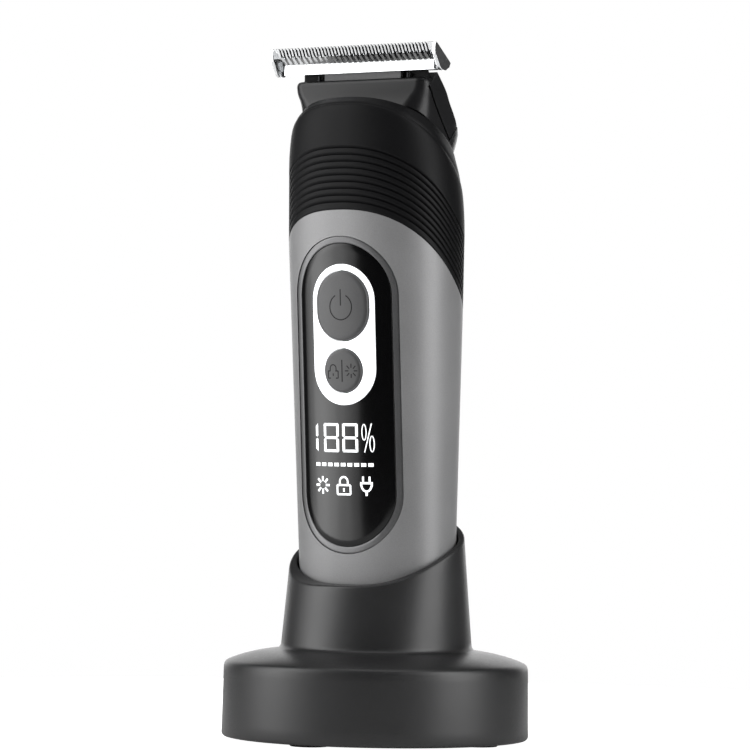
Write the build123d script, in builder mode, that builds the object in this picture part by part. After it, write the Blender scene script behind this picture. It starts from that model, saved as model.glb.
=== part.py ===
"""Body groomer standing in its charging dock.

The dock's base centre is the origin, +Z is up and the front of the groomer faces -Y. All sizes are in mm.
The groomer lifts straight up out of the dock, and its blade head pulls straight up off the neck.
"""

from build123d import *
from math import atan2, cos, degrees, hypot, pi, sin, sqrt
import os

os.makedirs("parts", exist_ok=True)

# Groomer body: a superellipse whose half sizes and centre grow in proportion with height.
SECTION_EXPONENT = 2.35
SECTION_Z = 54.0  # height at which the half sizes below hold
HALF_WIDTH, HALF_WIDTH_GROWTH = 19.1, 1.55 / 60
HALF_DEPTH, HALF_DEPTH_GROWTH = 13.43, 2.46 / 60
CENTRE_Y, CENTRE_Y_GROWTH = -0.78, -2.12 / 60
OUTLINE_POINTS = 28
BODY_BOTTOM = 12.0
WALL = 2.0

# Slanted cuts across the body: height at y = 0, and the fall in height for each mm towards the back.
GRIP_SEAM = (103.3, 0.89)
BEVEL_EDGE = (124.6, 0.85)
RIM_EDGE = (135.7, 0.6)
BEVEL_INSET, BEVEL_SHIFT = 0.45, 0.6  # how far the outline has drawn in and moved back at each edge
MID_INSET, MID_SHIFT = 1.35, 0.7
RIM_INSET, RIM_SHIFT, RIM_WALL = 3.3, 0.8, 0.9
GROOVE_COUNT = 9
GROOVE_PITCH = 1.553
GROOVE_FIRST = 104.85  # height at y = 0 of the lowest groove
GROOVE_WIDTH, GROOVE_DEPTH = 0.5, 0.5

# Dock.
BASE_R, BASE_TOP_R = 35.1, 34.8
BASE_BOTTOM, BASE_TOP = 0.6, 17.6
CREASE_R, CREASE_Z = 21.9, 20.8
COLLAR_TOP = 56.0
COLLAR_TAPER_X, COLLAR_TAPER_Y = 0.046, 0.193
RIM_MEAN, RIM_SWING = 43.9, 8.6
SHELL = 1.8
WELL_CLEARANCE = 0.5
WELL_FLOOR, WELL_FLOOR_THICK = 11.7, 2.0
SCREW_CIRCLE_R = 27.5

# Front panel, measured up the leaning front face.
PANEL_Z = 78.5
PANEL_WIDTH, PANEL_HEIGHT = 27.3, 72.0
BEZEL_BAND = 1.7
LENS_RECESS, LENS_THICK = 0.35, 1.3
SURROUND_WIDTH, SURROUND_LOW, SURROUND_HIGH = 16.5, 76.2, 108.1
POWER_WIDTH, POWER_HEIGHT, POWER_Z = 13.6, 15.7, 98.6
MODE_R, MODE_Z = 4.9, 84.0
KEY_GAP = 0.25
KEY_PROUD, KEY_THICK, KEY_TRAVEL = 0.5, 1.9, 0.6
BOARD_DEPTH = 6.4

# Drive.
MOTOR_R, MOTOR_BOTTOM, MOTOR_TOP = 8.2, 97.4, 119.0
MOTOR_Y = -1.0
SHAFT_R = 1.0
THROW = 1.0  # distance of the drive pin from the motor axis
PIN_R = 0.9
CELL_R, CELL_BOTTOM, CELL_TOP, CELL_Y = 7.0, 18.6, 68.0, 2.9
DECK_BOTTOM, DECK_TOP, DECK_INSET = 126.4, 128.0, 4.1

# Blade head. The holder plane slopes down to the back at 45 degrees from its front edge.
HOLDER_ORIGIN = (0, -6.5, 152.0)
HOLDER_THICK, HOLDER_LENGTH, HOLDER_HALF_WIDTH = 5.2, 16.3, 17.2
HOLDER_CENTRE_THICK, HOLDER_POCKET_HALF = 3.0, 13.6
BLADE_HALF, MOVING_HALF = 22.2, 20.05
GUARD_THICK = 0.9
TOOTH_SLITS, SLIT_PITCH, SLIT_WIDTH = 45, 0.894, 0.42
MOVING_GAPS, MOVING_PITCH, MOVING_GAP_WIDTH = 27, 1.44, 0.66
STEM_HALF, STEM_THICK, STEM_LENGTH = 9.0, 1.3, 7.5
LEG_HALF, TAB_HALF = 5.4, 10.2  # blade carrier


def save(builder, name):
    """Label a finished piece and write it to its own file."""
    builder.part.label = name
    export_step(builder.part, f"parts/{name}.step")


def body_section(height, slope=0.0, inset=0.0, shift=0.0):
    """Outline of the body on the plane z = height - slope * y, moved inwards by inset and back by shift."""
    stretch = sqrt(1 + slope * slope)
    points = []
    for i in range(OUTLINE_POINTS):
        turn = 2 * pi * (i + 0.5) / OUTLINE_POINTS
        power = 2 / SECTION_EXPONENT
        unit_x = abs(cos(turn)) ** power * (1 if cos(turn) > 0 else -1)
        unit_y = abs(sin(turn)) ** power * (1 if sin(turn) > 0 else -1)
        growth = CENTRE_Y_GROWTH + HALF_DEPTH_GROWTH * unit_y
        level_y = CENTRE_Y + shift + (HALF_DEPTH - inset) * unit_y + growth * (height - SECTION_Z)
        y = level_y / (1 + slope * growth)
        z = height - slope * y
        x = (HALF_WIDTH - inset + HALF_WIDTH_GROWTH * (z - SECTION_Z)) * unit_x
        points.append((x, y * stretch))
    with BuildSketch(Plane(origin=(0, 0, height), x_dir=(1, 0, 0), z_dir=(0, slope, 1))) as section:
        with BuildLine():
            Spline(*points, periodic=True)
        make_face()
    return section.sketch.face()


def body_span(low, high, inset=0.0):
    """The two outlines that bound a length of the body; low and high are (height, slope)."""
    return [body_section(*low, inset=inset), body_section(*high, inset=inset)]


def front_y(z):
    """Y of the front of the body at height z, on the centre line."""
    return CENTRE_Y - HALF_DEPTH + (CENTRE_Y_GROWTH - HALF_DEPTH_GROWTH) * (z - SECTION_Z)


def face_plane(z, depth=0.0):
    """Plane lying on the leaning front face at height z, facing out, sunk by depth."""
    lean = HALF_DEPTH_GROWTH - CENTRE_Y_GROWTH
    outward = Vector(0, -1, -lean).normalized()
    origin = Vector(0, front_y(z), z) - outward * depth
    return Plane(origin=origin, x_dir=(1, 0, 0), z_dir=outward)


def slot_sketch(plane, height, width):
    """Upright stadium on a plane."""
    with BuildSketch(plane) as sketch:
        SlotOverall(height, width, rotation=90)
    return sketch.sketch


def rim_height(x, y):
    """Height of the dock collar's rim, which rises from the front to the back."""
    radius = sqrt(x * x + y * y + 25)
    rise = y / radius
    flank = 4 * (x * y / (radius * radius)) ** 2 if y < 0 else 0
    return RIM_MEAN + RIM_SWING * rise - 1.1 * flank


def holder_frame(along=0.0, above=0.0):
    """Plane on the blade holder's outer face: local x is across, local y runs down the slope."""
    down = Vector(0, 1, -1).normalized()
    outward = Vector(0, 1, 1).normalized()
    origin = Vector(*HOLDER_ORIGIN) + down * along + outward * above
    return Plane(origin=origin, x_dir=(1, 0, 0), z_dir=outward)


def holder_block(half_width, along, above):
    """Block on the holder plane: along and above are (from, to)."""
    with BuildPart() as block:
        with BuildSketch(holder_frame((along[0] + along[1]) / 2, above[0])):
            Rectangle(2 * half_width, along[1] - along[0])
        extrude(amount=above[1] - above[0])
    return block.part


def side_profile(points, x=0.0):
    """Closed outline from (y, z) points, on the plane at x."""
    with BuildSketch(Plane.YZ.offset(x)) as sketch:
        with BuildLine():
            Polyline(*points, close=True)
        make_face()
    return sketch.sketch


# ---------------------------------------------------------------- dock

with BuildSketch(Plane.XZ) as base_outline:
    with BuildLine():
        outer = Polyline((0, BASE_BOTTOM), (BASE_R - 0.8, BASE_BOTTOM), (BASE_R, BASE_BOTTOM + 0.8),
                         (BASE_TOP_R + 0.05, BASE_TOP - 0.9), (BASE_TOP_R - 0.9, BASE_TOP))
        dome = ThreePointArc(outer @ 1, (28.6, 19.7), (CREASE_R - 1.5, CREASE_Z + 0.08))
        Polyline(dome @ 1, (0, CREASE_Z + 0.08), (0, BASE_BOTTOM))
    make_face()

with BuildSketch(Plane.XZ) as base_hollow:
    with BuildLine():
        inner = Polyline((0, BASE_BOTTOM), (BASE_R - 2.2, BASE_BOTTOM), (BASE_TOP_R - 2.2, BASE_TOP - 1.6))
        inner_dome = ThreePointArc(inner @ 1, (27.5, 17.7), (CREASE_R - 1.5, CREASE_Z - SHELL))
        Polyline(inner_dome @ 1, (0, CREASE_Z - SHELL), (0, BASE_BOTTOM))
    make_face()


def collar_section(z, inset=0.0):
    """Oval outline of the collar at height z."""
    rise = z - CREASE_Z
    with BuildSketch(Plane.XY.offset(z)) as section:
        Ellipse(CREASE_R - COLLAR_TAPER_X * rise - inset, CREASE_R - COLLAR_TAPER_Y * rise - inset)
    return section.sketch.face()


RIM_SPAN, RIM_STEPS = 27.0, 18
rim_grid = [
    [
        (-RIM_SPAN + 2 * RIM_SPAN * i / RIM_STEPS, -RIM_SPAN + 2 * RIM_SPAN * j / RIM_STEPS)
        for i in range(RIM_STEPS + 1)
    ]
    for j in range(RIM_STEPS + 1)
]
rim_face = Face.make_surface_from_array_of_points([[(x, y, rim_height(x, y)) for x, y in row] for row in rim_grid])

POCKET_LOW, POCKET_HIGH = CREASE_Z - SHELL - 0.5, 31.5
with BuildPart() as dock_shell:
    add(base_outline.sketch)
    revolve(axis=Axis.Z)
    add(base_hollow.sketch)
    revolve(axis=Axis.Z, mode=Mode.SUBTRACT)
    loft([collar_section(CREASE_Z - 0.4), collar_section(COLLAR_TOP)], ruled=True)
    extrude(rim_face, amount=40, dir=(0, 0, 1), mode=Mode.SUBTRACT)
    loft([collar_section(POCKET_LOW, SHELL), collar_section(POCKET_HIGH, SHELL)], ruled=True, mode=Mode.SUBTRACT)
    loft(body_span((WELL_FLOOR - WELL_FLOOR_THICK, 0), (POCKET_HIGH + 1, 0), -WELL_CLEARANCE - 1.5), ruled=True)
    loft(body_span((WELL_FLOOR, 0), (COLLAR_TOP + 2, 0), -WELL_CLEARANCE), ruled=True, mode=Mode.SUBTRACT)
    with BuildSketch(Plane.XY.offset(3.0)):
        with PolarLocations(SCREW_CIRCLE_R, 4, start_angle=45):
            Circle(3.0)
    extrude(amount=14.6)
    with BuildSketch(Plane.XY.offset(2.9)):
        with PolarLocations(SCREW_CIRCLE_R, 4, start_angle=45):
            Circle(1.25)
    extrude(amount=9, mode=Mode.SUBTRACT)
    with BuildSketch(Plane.XY.offset(WELL_FLOOR - WELL_FLOOR_THICK - 1)):
        with GridLocations(5.08, 0, 2, 1):
            Circle(1.05)
    extrude(amount=4, mode=Mode.SUBTRACT)
    with BuildSketch(Plane.XZ.offset(-38)):
        with Locations((0, 9.05)):
            SlotOverall(9.6, 3.9)
    extrude(amount=8, mode=Mode.SUBTRACT)
save(dock_shell, "dock_shell")

PLATE_TOP = 2.6
with BuildPart() as dock_bottom_plate:
    with BuildSketch(Plane.XY.offset(BASE_BOTTOM)):
        Circle(BASE_R - 2.4)
    extrude(amount=PLATE_TOP - BASE_BOTTOM)
    with Locations(Plane.XY.offset(BASE_BOTTOM).rotated((180, 0, 0))):
        with PolarLocations(SCREW_CIRCLE_R, 4, start_angle=45):
            CounterBoreHole(1.5, 2.7, 1.2)
    with BuildSketch(Plane.XY.offset(BASE_BOTTOM)):
        with PolarLocations(SCREW_CIRCLE_R, 4):
            Circle(4.6)
    extrude(amount=0.6, mode=Mode.SUBTRACT)
save(dock_bottom_plate, "dock_bottom_plate")

with BuildPart() as dock_rubber_feet:
    with BuildSketch():
        with PolarLocations(SCREW_CIRCLE_R, 4):
            Circle(4.5)
    extrude(amount=BASE_BOTTOM + 0.6)
    chamfer(dock_rubber_feet.faces().group_by(Axis.Z)[0].edges(), 0.3)
save(dock_rubber_feet, "dock_rubber_feet")

with BuildPart() as dock_screws:
    with BuildSketch(Plane.XY.offset(BASE_BOTTOM + 0.2)):
        with PolarLocations(SCREW_CIRCLE_R, 4, start_angle=45):
            Circle(2.4)
    extrude(amount=1.0)
    with BuildSketch(Plane.XY.offset(BASE_BOTTOM + 1.2)):
        with PolarLocations(SCREW_CIRCLE_R, 4, start_angle=45):
            Circle(1.2)
    extrude(amount=8.0)
    with BuildSketch(Plane.XY.offset(BASE_BOTTOM + 0.2)):
        with PolarLocations(SCREW_CIRCLE_R, 4, start_angle=45):
            Rectangle(2.6, 0.5)
            Rectangle(0.5, 2.6)
    extrude(amount=0.6, mode=Mode.SUBTRACT)
save(dock_screws, "dock_screws")

with BuildPart() as dock_ballast:
    with BuildSketch(Plane.XY.offset(PLATE_TOP)):
        Circle(22.5)
    extrude(amount=2.7)
    chamfer(dock_ballast.edges().group_by(Axis.Z)[-1], 0.4)
save(dock_ballast, "dock_ballast")

DOCK_BOARD_BOTTOM, DOCK_BOARD_THICK = 5.6, 1.6
with BuildPart() as dock_circuit_board:
    with BuildSketch(Plane.XY.offset(DOCK_BOARD_BOTTOM)):
        with Locations((0, 12)):
            RectangleRounded(20, 39, 1.5)
    extrude(amount=DOCK_BOARD_THICK)
    with BuildSketch(Plane.XY.offset(DOCK_BOARD_BOTTOM + DOCK_BOARD_THICK)):
        with Locations((6, 22), (-6, 23)):
            Rectangle(3.2, 1.6)
        with Locations((0, 21)):
            Rectangle(4, 4)
    extrude(amount=1.0)
save(dock_circuit_board, "dock_circuit_board")

BLOCK_BOTTOM = DOCK_BOARD_BOTTOM + DOCK_BOARD_THICK
with BuildPart() as dock_pin_block:
    with BuildSketch(Plane.XY.offset(BLOCK_BOTTOM)):
        RectangleRounded(11, 5, 0.8)
    extrude(amount=WELL_FLOOR - WELL_FLOOR_THICK - BLOCK_BOTTOM)
    with BuildSketch(Plane.XY.offset(BLOCK_BOTTOM)):
        with GridLocations(5.08, 0, 2, 1):
            Circle(1.35)
    extrude(amount=4, mode=Mode.SUBTRACT)
save(dock_pin_block, "dock_pin_block")

PIN_TIP = 12.85
with BuildPart() as dock_contact_pins:
    with BuildSketch(Plane.XY.offset(BLOCK_BOTTOM + 1.0)):
        with GridLocations(5.08, 0, 2, 1):
            Circle(1.28)
    extrude(amount=0.6)
    with BuildSketch(Plane.XY.offset(BLOCK_BOTTOM + 1.6)):
        with GridLocations(5.08, 0, 2, 1):
            Circle(0.97)
    extrude(amount=PIN_TIP - BLOCK_BOTTOM - 1.6)
    fillet(dock_contact_pins.edges().group_by(Axis.Z)[-1], 0.5)
save(dock_contact_pins, "dock_contact_pins")

USB_CENTRE_Z = 9.05
with BuildPart() as dock_usb_socket:
    with BuildSketch(Plane.XZ.offset(-34.4)):
        with Locations((0, USB_CENTRE_Z)):
            SlotOverall(8.94, 3.3)
            SlotOverall(8.34, 2.7, mode=Mode.SUBTRACT)
    extrude(amount=7.4)
    with BuildSketch(Plane.XZ.offset(-27.0)):
        with Locations((0, USB_CENTRE_Z)):
            SlotOverall(8.94, 3.3)
    extrude(amount=0.9)
    with BuildSketch(Plane.XZ.offset(-33.6)):
        with Locations((0, USB_CENTRE_Z)):
            Rectangle(6.6, 0.7)
    extrude(amount=6.8)
save(dock_usb_socket, "dock_usb_socket")

# ---------------------------------------------------------------- groomer body

with BuildPart() as handle_sleeve:
    loft(body_span((BODY_BOTTOM, 0), GRIP_SEAM), ruled=True)
    loft(body_span((BODY_BOTTOM - 1, 0), (GRIP_SEAM[0] + 1, GRIP_SEAM[1]), WALL), ruled=True, mode=Mode.SUBTRACT)
    extrude(slot_sketch(face_plane(PANEL_Z), PANEL_HEIGHT, PANEL_WIDTH), amount=9, both=True, mode=Mode.SUBTRACT)
save(handle_sleeve, "handle_sleeve")

def grip_section(height, inset=0.0):
    """Outline of the grooved part of the grip, which draws in evenly from the seam to the bevel's edge."""
    share = (height - GRIP_SEAM[0]) / (BEVEL_EDGE[0] - GRIP_SEAM[0])
    slope = GRIP_SEAM[1] + (BEVEL_EDGE[1] - GRIP_SEAM[1]) * share
    return body_section(height, slope, share * BEVEL_INSET + inset, share * BEVEL_SHIFT)


def bevel_sections(inset=0.0):
    """Outlines of the rounded bevel, from its lower edge to the rim."""
    middle = ((BEVEL_EDGE[0] + RIM_EDGE[0]) / 2, (BEVEL_EDGE[1] + RIM_EDGE[1]) / 2)
    return [
        body_section(*BEVEL_EDGE, inset=BEVEL_INSET + inset, shift=BEVEL_SHIFT),
        body_section(*middle, inset=MID_INSET + inset, shift=MID_SHIFT),
        body_section(*RIM_EDGE, inset=RIM_INSET + min(inset, RIM_WALL), shift=RIM_SHIFT),
    ]


with BuildPart() as groove_rings:
    for i in range(GROOVE_COUNT):
        height = GROOVE_FIRST + i * GROOVE_PITCH
        top = height + GROOVE_WIDTH
        loft([grip_section(height, -1.0), grip_section(top, -1.0)], ruled=True)
        loft([grip_section(height - 0.1, GROOVE_DEPTH), grip_section(top + 0.1, GROOVE_DEPTH)],
             ruled=True, mode=Mode.SUBTRACT)

with BuildPart() as grip_sleeve:
    loft([grip_section(GRIP_SEAM[0]), grip_section(BEVEL_EDGE[0])], ruled=True)
    loft(bevel_sections(), ruled=True)
    loft([body_section(GRIP_SEAM[0] - 1, GRIP_SEAM[1], WALL), grip_section(BEVEL_EDGE[0], WALL)],
         ruled=True, mode=Mode.SUBTRACT)
    loft(bevel_sections(WALL), ruled=True, mode=Mode.SUBTRACT)
    add(groove_rings.part, mode=Mode.SUBTRACT)
save(grip_sleeve, "grip_sleeve")

CAP_TOP = 15.0
CONTACT_RECESS = 1.0
with BuildPart() as bottom_cap:
    loft(body_span((BODY_BOTTOM, 0), (CAP_TOP, 0), WALL + 0.05), ruled=True)
    with BuildSketch(Plane.XY.offset(BODY_BOTTOM - 1)):
        with GridLocations(5.08, 0, 2, 1):
            Circle(1.9)
    extrude(amount=CONTACT_RECESS + 1.6, mode=Mode.SUBTRACT)
save(bottom_cap, "bottom_cap")

with BuildPart() as charge_contacts:
    with BuildSketch(Plane.XY.offset(BODY_BOTTOM + CONTACT_RECESS)):
        with GridLocations(5.08, 0, 2, 1):
            Circle(1.9)
    extrude(amount=0.6)
    with BuildSketch(Plane.XY.offset(BODY_BOTTOM + CONTACT_RECESS + 0.6)):
        with GridLocations(5.08, 0, 2, 1):
            Rectangle(1.6, 0.6)
save(charge_contacts, "charge_contacts")

# Front panel: a bezel ring, a black lens, and a white surround that holds the two keys.
PANEL_FACE = face_plane(PANEL_Z)
SURROUND_Z = (SURROUND_LOW + SURROUND_HIGH) / 2
SURROUND_HEIGHT = SURROUND_HIGH - SURROUND_LOW
SURROUND_THICK = 1.6
BODY_ENDS = ((BODY_BOTTOM, 0), (125.0, 0))


def panel_piece(outer, inner_cuts, top_inset, bottom_inset):
    """Curved plate that follows the body, cut to a stadium; each cut is a sketch to leave out."""
    with BuildPart() as piece:
        loft(body_span(*BODY_ENDS, top_inset), ruled=True)
        loft(body_span(*BODY_ENDS, bottom_inset), ruled=True, mode=Mode.SUBTRACT)
        extrude(outer, amount=7, both=True, mode=Mode.INTERSECT)
        for cut in inner_cuts:
            extrude(cut, amount=9, both=True, mode=Mode.SUBTRACT)
    return piece


lens_height, lens_width = PANEL_HEIGHT - 2 * BEZEL_BAND, PANEL_WIDTH - 2 * BEZEL_BAND
lens_outline = slot_sketch(PANEL_FACE, lens_height, lens_width)
surround_outline = slot_sketch(face_plane(SURROUND_Z), SURROUND_HEIGHT, SURROUND_WIDTH)
power_opening = slot_sketch(face_plane(POWER_Z), POWER_HEIGHT + 2 * KEY_GAP, POWER_WIDTH + 2 * KEY_GAP)
with BuildSketch(face_plane(MODE_Z)) as mode_opening:
    Circle(MODE_R + KEY_GAP)
bezel_outline = slot_sketch(PANEL_FACE, PANEL_HEIGHT - 0.2, PANEL_WIDTH - 0.2)
lens_opening = slot_sketch(PANEL_FACE, lens_height + 0.1, lens_width + 0.1)
surround_opening = slot_sketch(face_plane(SURROUND_Z), SURROUND_HEIGHT + 0.1, SURROUND_WIDTH + 0.1)

panel_bezel = panel_piece(bezel_outline, [lens_opening], 0.15, 3.0)
save(panel_bezel, "panel_bezel")
display_lens = panel_piece(lens_outline, [surround_opening], LENS_RECESS, LENS_RECESS + LENS_THICK)
save(display_lens, "display_lens")
button_surround = panel_piece(surround_outline, [power_opening, mode_opening.sketch], LENS_RECESS,
                              LENS_RECESS + SURROUND_THICK)
save(button_surround, "button_surround")

with BuildSketch(face_plane(POWER_Z)) as power_outline:
    SlotOverall(POWER_HEIGHT, POWER_WIDTH, rotation=90)
with BuildSketch(face_plane(MODE_Z)) as mode_outline:
    Circle(MODE_R)


def key(outline, plane, stem_length):
    """Key cap that follows the body, with a stem that reaches in to its switch."""
    with BuildPart() as piece:
        loft(body_span(*BODY_ENDS, LENS_RECESS - KEY_PROUD), ruled=True)
        loft(body_span(*BODY_ENDS, LENS_RECESS - KEY_PROUD + KEY_THICK), ruled=True, mode=Mode.SUBTRACT)
        extrude(outline, amount=7, both=True, mode=Mode.INTERSECT)
        fillet(piece.faces().sort_by(Axis.Y)[0].edges(), 0.35)
        with BuildSketch(plane.offset(-KEY_THICK + KEY_PROUD - LENS_RECESS + 0.3)):
            Circle(1.6)
        extrude(amount=-stem_length)
    return piece


STEM_LENGTH_KEY = 1.5
power_button = key(power_outline.sketch, face_plane(POWER_Z), STEM_LENGTH_KEY)
save(power_button, "power_button")
mode_button = key(mode_outline.sketch, face_plane(MODE_Z), STEM_LENGTH_KEY)
save(mode_button, "mode_button")

BOARD_CENTRE_Z = 80.0
with BuildPart() as main_circuit_board:
    with BuildSketch(face_plane(BOARD_CENTRE_Z, BOARD_DEPTH)):
        RectangleRounded(22, 66, 2)
    extrude(amount=-1.2)
save(main_circuit_board, "main_circuit_board")

SWITCH_HEIGHT = BOARD_DEPTH - KEY_THICK + KEY_PROUD - LENS_RECESS - 1.2 - KEY_TRAVEL - 0.35
with BuildPart() as tactile_switches:
    for height in (POWER_Z, MODE_Z):
        with BuildSketch(face_plane(height, BOARD_DEPTH)):
            RectangleRounded(6, 6, 0.5)
        extrude(amount=SWITCH_HEIGHT - 0.5)
        with BuildSketch(face_plane(height, BOARD_DEPTH - SWITCH_HEIGHT + 0.5)):
            Circle(1.7)
        extrude(amount=0.5)
save(tactile_switches, "tactile_switches")

with BuildPart() as display_module:
    with BuildSketch(face_plane(64.0, BOARD_DEPTH)):
        RectangleRounded(18.5, 19, 0.6)
    extrude(amount=2.6)
save(display_module, "display_module")

# ---------------------------------------------------------------- groomer drive

RAIL_X, RAIL_THICK = 9.3, 1.5
with BuildPart() as inner_frame:
    for side in (-1, 1):
        with BuildSketch(Plane.XY.offset(CAP_TOP + 0.2)):
            with Locations((side * (RAIL_X + RAIL_THICK / 2), 1.6)):
                Rectangle(RAIL_THICK, 8.0)
        extrude(amount=121.0 - CAP_TOP - 0.2)
    for low, high in ((CAP_TOP + 0.2, CAP_TOP + 1.7), (70.0, 71.6), (94.0, 95.4)):
        with BuildSketch(Plane.XY.offset(low)):
            with Locations((0, 1.6)):
                Rectangle(2 * RAIL_X + 2 * RAIL_THICK, 8.0)
        extrude(amount=high - low)
    with BuildSketch(Plane.XY.offset(MOTOR_TOP)):
        with Locations((0, MOTOR_Y)):
            Circle(RAIL_X + RAIL_THICK)
            Circle(3.1, mode=Mode.SUBTRACT)
            with GridLocations(11, 0, 2, 1):
                Circle(0.95, mode=Mode.SUBTRACT)
    extrude(amount=2.0)
save(inner_frame, "inner_frame")

with BuildPart() as battery_cell:
    with BuildSketch(Plane.XY.offset(CELL_BOTTOM)):
        with Locations((0, CELL_Y)):
            Circle(CELL_R)
    extrude(amount=CELL_TOP - CELL_BOTTOM - 0.8)
    fillet(battery_cell.edges(), 0.5)
    with BuildSketch(Plane.XY.offset(CELL_TOP - 0.8)):
        with Locations((0, CELL_Y)):
            Circle(2.6)
    extrude(amount=0.8)
save(battery_cell, "battery_cell")

with BuildPart() as battery_tabs:
    with BuildSketch(Plane.XY.offset(CELL_TOP)):
        with Locations((0, CELL_Y - 2)):
            RectangleRounded(4.5, 13, 1)
    extrude(amount=0.3)
    with BuildSketch(Plane.XY.offset(CELL_BOTTOM - 0.3)):
        with Locations((0, CELL_Y - 2)):
            RectangleRounded(4.5, 13, 1)
    extrude(amount=0.3)
save(battery_tabs, "battery_tabs")

with BuildPart() as motor_can:
    with BuildSketch(Plane.XY.offset(MOTOR_BOTTOM)):
        with Locations((0, MOTOR_Y)):
            Circle(MOTOR_R)
    extrude(amount=MOTOR_TOP - MOTOR_BOTTOM)
    fillet(motor_can.edges().group_by(Axis.Z)[-1], 0.8)
    with BuildSketch(Plane.XY.offset(MOTOR_TOP)):
        with Locations((0, MOTOR_Y)):
            Circle(3.0)
    extrude(amount=1.2)
    with Locations((0, MOTOR_Y, MOTOR_TOP + 1.2)):
        Hole(SHAFT_R + 0.05)
save(motor_can, "motor_can")

with BuildPart() as motor_end_cap:
    with BuildSketch(Plane.XY.offset(MOTOR_BOTTOM - 1.6)):
        with Locations((0, MOTOR_Y)):
            Circle(MOTOR_R - 0.5)
            Circle(SHAFT_R + 0.3, mode=Mode.SUBTRACT)
    extrude(amount=1.6)
save(motor_end_cap, "motor_end_cap")

with BuildPart() as motor_screws:
    with BuildSketch(Plane.XY.offset(MOTOR_TOP + 2.0)):
        with Locations((0, MOTOR_Y)):
            with GridLocations(11, 0, 2, 1):
                Circle(1.6)
    extrude(amount=0.9)
    with BuildSketch(Plane.XY.offset(MOTOR_TOP)):
        with Locations((0, MOTOR_Y)):
            with GridLocations(11, 0, 2, 1):
                Circle(0.9)
    extrude(amount=2.0)
save(motor_screws, "motor_screws")

SHAFT_TOP = 124.4
with BuildPart() as motor_shaft:
    with BuildSketch(Plane.XY.offset(MOTOR_BOTTOM - 1.2)):
        with Locations((0, MOTOR_Y)):
            Circle(SHAFT_R)
    extrude(amount=SHAFT_TOP - MOTOR_BOTTOM + 1.2)
save(motor_shaft, "motor_shaft")

HUB_BOTTOM, HUB_TOP, PIN_TOP = 122.4, 125.4, 136.6
with BuildPart() as eccentric_pin:
    with BuildSketch(Plane.XY.offset(HUB_BOTTOM)):
        with Locations((0, MOTOR_Y)):
            Circle(3.6)
            with Locations((0, -3.0)):
                Rectangle(8, 2.4, mode=Mode.SUBTRACT)
    extrude(amount=HUB_TOP - HUB_BOTTOM)
    with BuildSketch(Plane.XY.offset(HUB_BOTTOM)):
        with Locations((0, MOTOR_Y)):
            Circle(SHAFT_R)
    extrude(amount=SHAFT_TOP - HUB_BOTTOM, mode=Mode.SUBTRACT)
    with BuildSketch(Plane.XY.offset(HUB_TOP)):
        with Locations((0, MOTOR_Y + THROW)):
            Circle(PIN_R)
    extrude(amount=PIN_TOP - HUB_TOP)
    fillet(eccentric_pin.edges().group_by(Axis.Z)[-1], 0.4)
save(eccentric_pin, "eccentric_pin")

with BuildPart() as neck_deck:
    loft(body_span((DECK_BOTTOM, 0), (DECK_TOP, 0), DECK_INSET), ruled=True)
    with Locations((0, MOTOR_Y, DECK_TOP)):
        Hole(THROW + PIN_R + 0.5)
save(neck_deck, "neck_deck")

SEAL_THICK = 0.3
with BuildPart() as neck_seal:
    seal_ends = ((DECK_TOP, 0), (DECK_TOP + SEAL_THICK, 0))
    loft(body_span(*seal_ends, DECK_INSET + 1.0), ruled=True)
    loft(body_span(*seal_ends, DECK_INSET + 2.6), ruled=True, mode=Mode.SUBTRACT)
save(neck_seal, "neck_seal")

# ---------------------------------------------------------------- blade head

# Height, half width, front y, back y, front corner radius, back corner radius.
HEAD_SECTIONS = (
    (128.6, 15.9, -14.4, 8.0, 9.0, 10.5),
    (133.0, 16.2, -14.6, 10.8, 8.0, 11.0),
    (138.0, 16.5, -14.3, 12.4, 7.0, 10.5),
    (142.0, 16.8, -13.4, 12.6, 6.0, 10.5),
    (145.5, 17.2, -12.2, 12.6, 3.5, 10.5),
    (148.0, 17.6, -11.9, 12.6, 2.2, 10.5),
    (153.6, 17.6, -12.6, 12.6, 1.8, 10.5),
)
HEAD_TOP, CAVITY_TOP = 150.4, 149.0
CAVITY_HALF, CAVITY_FRONT, CAVITY_BACK = 12.9, -10.7, 6.4
MOUTH_HALF = 14.2
HEAD_GAP = 0.4


def head_section(z, half, front, back, front_r, back_r):
    """Rounded outline of the head, with its own radius at the front and the back corners."""
    with BuildSketch(Plane.XY.offset(z)) as section:
        with Locations((0, (front + back) / 2)):
            Rectangle(2 * half, back - front)
        fillet(section.vertices().group_by(Axis.Y)[0], front_r)
        fillet(section.vertices().group_by(Axis.Y)[-1], back_r)
    return section.sketch.face()


with BuildPart() as head_form:
    loft([head_section(*row) for row in HEAD_SECTIONS])

with BuildPart() as head_cavity:
    with BuildSketch(Plane.XY.offset(HEAD_SECTIONS[0][0] - 1)):
        with Locations((0, (CAVITY_FRONT + CAVITY_BACK) / 2)):
            RectangleRounded(2 * CAVITY_HALF, CAVITY_BACK - CAVITY_FRONT, 1.5)
    extrude(amount=CAVITY_TOP - HEAD_SECTIONS[0][0] + 1)
    add(holder_block(25, (14.5, 40), (-1.8, 30)), mode=Mode.SUBTRACT)

# Space that the grip's rim takes up around the neck, with a gap to spare.
with BuildPart() as rim_space:
    rim_top = (RIM_EDGE[0] + HEAD_GAP, RIM_EDGE[1])
    clear = RIM_INSET + RIM_WALL + HEAD_GAP
    loft(body_span((112.0, RIM_EDGE[1]), rim_top, -4.0), ruled=True)
    loft([body_section(111.0, RIM_EDGE[1], clear, RIM_SHIFT),
          body_section(rim_top[0] + 1, rim_top[1], clear, RIM_SHIFT)], ruled=True, mode=Mode.SUBTRACT)

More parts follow.
